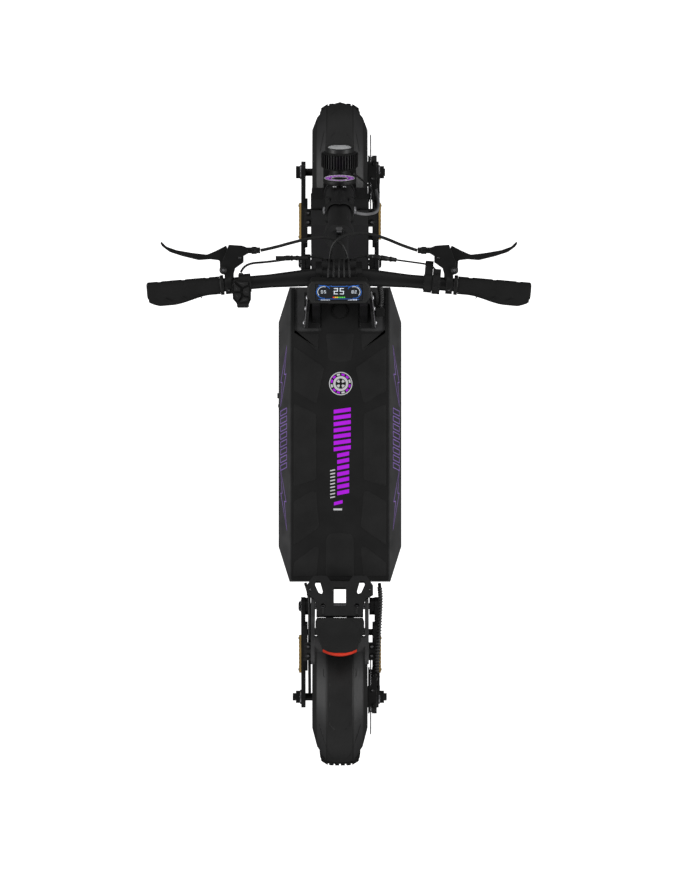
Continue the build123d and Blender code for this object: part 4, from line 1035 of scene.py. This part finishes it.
def digit(shape, char, x, y, wide, high, name):
    """One seven-segment digit with its lower left corner at (x, y)."""
    bar = wide * 0.2
    cells = {"a": (0, high - bar, wide, high), "b": (wide - bar, high / 2, wide, high),
             "c": (wide - bar, 0, wide, high / 2), "d": (0, 0, wide, bar), "e": (0, 0, bar, high / 2),
             "f": (0, high / 2, bar, high), "g": (0, (high - bar) / 2, wide, (high + bar) / 2)}
    for key in SEGMENTS[char]:
        x0, y0, x1, y1 = cells[key]
        patch(shape, oblong(x + x0, x + x1, y + y0, y + y1), name,
              lambda a, b, c: on_display(a, b, DISPLAY_FACE_Z + c), lift=0.15)


DISPLAY_OUTLINE = [(-53, 9), (-53, -9), (-45, -20.5), (45, -20.5), (53, -9), (53, 9), (45, 20.5), (-45, 20.5)]
DISPLAY_FACE_Z = 8.6


def dress_display():
    """The display: a lit face with plain numbers and bars, and its bevelled bezel."""
    place = lambda x, y, z: on_display(x, y, DISPLAY_FACE_Z + z)
    shape = Shape()
    shape.prism(oblong(-38.8, 38.8, -14.8, 14.8), 7, DISPLAY_FACE_Z, "screen_glass", on_display)
    digit(shape, "2", -8.4, -3.4, 6.8, 11.5, "ui_white")
    digit(shape, "5", 1.6, -3.4, 6.8, 11.5, "ui_white")
    for side in (-1, 1):
        cx = side * 25.5
        ribbon(shape, arc(cx, 1, 11.8, 90 + side * 60, 90 - side * 190, 24), 0.9, "ui_blue", place)
        ribbon(shape, arc(cx, 1, 9.8, 90 + side * 20, 90 - side * 130, 18), 0.8, "ui_white", place)
        digit(shape, "0" if side < 0 else "8", cx - 4.2, -1.6, 3.2, 5.4, "ui_white")
        digit(shape, "5" if side < 0 else "2", cx + 0.8, -1.6, 3.2, 5.4, "ui_white")
        ribbon(shape, [(side * 12, 12.5), (side * 17, 11), (side * 34, 13.6)], 0.6, "ui_blue", place)
    ribbon(shape, [(-13, 11.2), (13, 11.2)], 0.8, "ui_blue", place)
    ribbon(shape, [(-34, -13), (-16, -12), (16, -12), (34, -13)], 0.6, "ui_blue", place)
    cells = ["ui_red", "ui_yellow", "ui_yellow", "ui_green", "ui_green", "ui_green", "ui_green"]
    for k, name in enumerate(cells):
        x = -10 + 3 * k
        patch(shape, oblong(x, x + 2.3, -10.2, -8), name, place)
    for k in range(6):
        x = 15.5 + 2.6 * k
        patch(shape, oblong(x, x + 1.8, -14.6, -13.6 + 0.25 * k), "ui_white", place)
        x = -30 + 2.6 * k
        patch(shape, oblong(x, x + 1.8, -14.6, -13.4), "ui_white", place)
    shape.make("screen_face", "stem", ["display_screen"])
    bezel = Shape()
    rows = []
    for scale, z in ((1.0, 7.8), (0.955, 9.0), (0.9, 9.2)):
        rows.append([on_display(x * scale, y * (scale - 0.02 if scale < 1 else 1), z)
                     for x, y in rounded(DISPLAY_OUTLINE, 3)])
    bezel.skin(rows, "bezel", caps=False)
    inner, sunk = ([on_display(*radial_onto(point, half_w, half_h), z)
                    for point in rounded(DISPLAY_OUTLINE, 3)]
                   for half_w, half_h, z in ((40.0, 15.8, 9.2), (39.2, 15.1, 8.0)))
    bezel.skin([rows[-1], inner, sunk], "bezel", caps=False)
    bezel.make("display_bezel", "stem", (), sharp=25)


def radial_onto(point, half_w, half_h):
    """The point scaled from the centre onto a rectangle."""
    x, y = point
    scale = min(half_w / max(abs(x), 1e-6), half_h / max(abs(y), 1e-6))
    return x * scale, y * scale


# ---- cables -----------------------------------------------------------------------------------
def add_cables():
    """Every visible cable along its own route."""
    route = [(-131.2, 308.8, 1102), (-110, 313, 1103), (-78, 322, 1105), (-44, 330, 1107), (-17, 331, 1108),
             (2, 322, 1107), (11, 309, 1104), (14.5, 294, 1099)]
    curve_cable("left_brake_hose", route, 2.6, "cable_jacket", "stem", ["handlebar_cables"])
    route = [(131.2, 308.8, 1102), (108, 316, 1104), (76, 330, 1108), (42, 338.5, 1112), (12, 335, 1115),
             (-6, 324, 1113), (-14, 309, 1106), (-15, 294, 1099)]
    curve_cable("right_brake_hose", route, 2.6, "cable_jacket", "stem")
    route = [(-164.4, 271.9, 1106), (-160.5, 280.7, 1106), (-147, 287.3, 1106), (-128, 288.5, 1105),
             (-98, 292, 1103), (-66, 297, 1101), (-42, 299, 1099), (-26, 296, 1098)]
    curve_cable("left_switch_lead", route, 1.9, "cable_jacket", "stem")
    route = [(163, 272, 1089), (162, 279, 1079), (152, 286, 1071), (132, 289, 1070), (108, 292, 1077),
             (84, 295, 1087), (60, 298, 1095), (38, 300, 1098), (25, 295, 1098)]
    curve_cable("right_switch_lead", route, 1.5, "cable_jacket", "stem")
    for k, x in enumerate((-18, -9, 0, 9, 18)):
        port = -12.5 if x < 0 else 12.5
        route = [(x, 262, 1146), (x, 272, 1147), (x * 0.9, 287, 1138), (x * 0.75 + port * 0.25, 296, 1118),
                 (port + (k % 2) * 2.4, 290, 1098)]
        curve_cable(f"display_lead_{k + 1}", route, 1.5, "cable_jacket", "stem")
    shape = Shape()
    plug_rings(shape, [(-106, 296, 1101), (-52, 296, 1101)])
    plug_rings(shape, [(96, 293.5, 1082), (72, 296.5, 1091), (46, 299.2, 1097)])
    shape.make("connectors", "stem", ())

    hose = [(27, 396, 540), (44, 394, 512), (60, 397, 478), (68, 404, 435), (70, 416, 375), (70, 432, 300),
            (67, 446, 244), (66, 450, 222)]
    flexing_cable("front_brake_hose", hose, 2.7, "hose_grey", "fork", ["front_cables"])
    lead = [(26, 466, 508), (36, 460, 488), (48, 452, 440), (57, 444, 385), (60, 432, 335), (62, 412, 290)]
    flexing_cable("lamp_lead", lead, 1.8, "cable_jacket", "fork", ())
    motor = [(-64, -275, 184), (-58, -296, 192), (-56.3, -322, 200), (-56.3, -356, 210.5), (-56.3, -395, 208),
             (-56.3, -430, 188), (-56.3, -460, 160), (-56.3, -480, 140)]
    flexing_cable("motor_lead", motor, 2.8, "cable_jacket", "deck", ["deck_cables"])
    rear = [(73, -276, 186), (75, -304, 206), (73.5, -340, 222), (71, -382, 231), (69.5, -414, 229.5),
            (68.5, -438, 225)]
    flexing_cable("rear_brake_hose", rear, 3.2, "cable_jacket", "deck", ())
    wrapped = smooth_path(rear, 8)[2:]
    spiral("rear_hose_wrap", wrapped, 3.7, 5.6, "wrap_grey", "deck", "rear_arm")
    sleeve = [(74, 230, 208), (76, 250, 212), (74, 270, 228), (68, 288, 254), (60, 300, 280)]
    curve_cable("front_sleeve_core", sleeve, 3.9, "cable_jacket", "deck")
    spiral("front_sleeve_wrap", smooth_path(sleeve, 8), 4.2, 5.2, "wrap_grey", "deck")
    box = Shape()
    box.prism(rounded(oblong(66, 82, 218, 234), 3), DECK_TOP_Z, DECK_TOP_Z + 15, "black_plastic")
    box.make("sleeve_grommet", "deck", (), bevel=1.5)


def plug_rings(shape, points):
    """A ribbed in-line connector with a plain collar."""
    path = smooth_path(points, 12)
    radii = [4.5 if 3 < i < len(path) - 4 and i % 6 not in (0, 1) else 3.6 for i in range(len(path))]
    shape.tube(path, 4.5, "cable_jacket", 16, radii)
    middle = path[len(path) // 2]
    ahead = (path[len(path) // 2 + 1] - middle).normalized()
    shape.tube([middle - ahead * 1.6, middle + ahead * 1.6], 4.7, "black_plastic", 18)


def flexing_cable(name, points, radius, finish_name, a, replaced):
    """A round cable along a smooth path, baked in place and riding on no body."""
    shape = Shape()
    shape.tube(smooth_path(points, 10), radius, finish_name, 14)
    obj = shape.make(name, a, (), sharp=60)
    obj.parent = None
    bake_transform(obj)
    if replaced:
        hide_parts(*replaced)


def spiral(name, path, radius, pitch, finish_name, a, b=None):
    """A spiral wrap round a cable."""
    shape = Shape()
    total = sum((q - p).length for p, q in zip(path, path[1:]))
    steps = int(total / pitch * 14)
    turned, travelled, i = [], 0.0, 0
    side = None
    for k in range(steps):
        goal = total * k / steps
        while i < len(path) - 2 and travelled + (path[i + 1] - path[i]).length < goal:
            travelled += (path[i + 1] - path[i]).length
            i += 1
        ahead = (path[i + 1] - path[i]).normalized()
        here = path[i] + ahead * (goal - travelled)
        side = ahead.cross(Vector((0.3, 0.2, 1))).normalized() if side is None else side
        side = (side - ahead * side.dot(ahead)).normalized()
        other = ahead.cross(side)
        angle = 2 * math.pi * goal / pitch
        turned.append(here + (side * math.cos(angle) + other * math.sin(angle)) * radius)
    shape.tube(turned, pitch * 0.21, finish_name, 6)
    obj = shape.make(name, a, (), sharp=70)
    if b:
        obj.parent = None
        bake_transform(obj)


# ---- arms, reflectors and neck ------------------------------------------------------------------
def dress_arms():
    """Bolts, seams and reflector faces on the two swingarms."""
    for end, body in ((1, "front_arm"), (-1, "rear_arm")):
        shape = Shape()
        for y in (444, 500):
            socket_bolt(shape, (64, end * y, 216), (0, 0, 1), 4.2, 3.6)
        socket_bolt(shape, (60, end * 472, 216), (0, 0, 1), 3.0, 2.4)
        seam = [(56.8, end * 434, 216.4), (56.8, end * 512, 214)]
        shape.tube(seam, 0.6, "bolt_steel", 6)
        shape.tube([(68, end * 452, 206), (71, end * 446, 210)], 3.4, "bare_aluminium", 12)
        for side in (-1, 1):
            near = 362 if end > 0 else 373
            for y in (near + 5, near + 63):
                socket_bolt(shape, (side * 75.9, end * y, 149), (side, 0, 0), 2.2, 1.4)
            for k in range(7):
                y = end * (near + 11 + 7.5 * k)
                flute = [(side * 76.0, y, 141), (side * 76.0, y + end * 3, 157)]
                shape.tube(flute, 0.5, "amber_reflector", 6)
            washer = frame_at((side * ARM_X1, end * AXLE_Y, AXLE_Z), (side, 0, 0))
            shape.lathe([(0, 7.2), (0, 13.4), (2.2, 13.4), (2.2, 7.2)], washer, "bolt_steel", 30)
        shape.make(f"{body}_details", body, ())


def dress_neck():
    """Weld beads at the neck, and the brackets' pale borders."""
    shape = Shape()
    for s in (20, 124):
        bead = []
        for k in range(49):
            a = math.radians(360 * k / 48)
            bead.append(steered(22.6 * math.cos(a), 22.6 * math.sin(a), s))
        shape.tube(bead, 1.3, "frame_paint", 8)
    for side in (-1, 1):
        shape.tube([(side * 37, 206, 206.4), (side * 51, 206, 206.4)], 1.2, "frame_paint", 8)
        wall = [(side * 65.4, 197.5, 218.6), (side * 62.4, 226, 246.6), (side * 59.4, 250, 290.6),
                (side * 58, 261, 296.4)]
        shape.tube(wall, 0.9, "bare_aluminium", 8)
    shape.make("neck_details", "deck", ())


add_camera()
add_floor()
add_light()
dress_cad_nodes()
dress_mat()
dress_flanks()
dress_deck_bolts()
add_tyre(1, "front_wheel", "front_tyre")
add_tyre(-1, "rear_wheel", "rear_tyre")
add_rim(1, "front_wheel", "front_hub", 6)
add_rim(-1, "rear_wheel", "rear_motor_hub", 0)
add_rotor(1, "front_wheel", "front_rotor")
add_rotor(-1, "rear_wheel", "rear_rotor")
add_fender(1, "front_arm", "front_fender", FRONT_NOSE, FRONT_CREASES)
add_fender(-1, "rear_arm", "rear_fender", REAR_NOSE, REAR_CREASES)
add_springs(1, "front_arm", "front_springs", "fork")
add_springs(-1, "rear_arm", "rear_springs", "deck")
dress_tail()
dress_lamp()
dress_badge()
dress_fold()
dress_latch()
add_grips()
add_levers()
dress_pod()
dress_throttle()
dress_display()
add_cables()
dress_arms()
dress_neck()
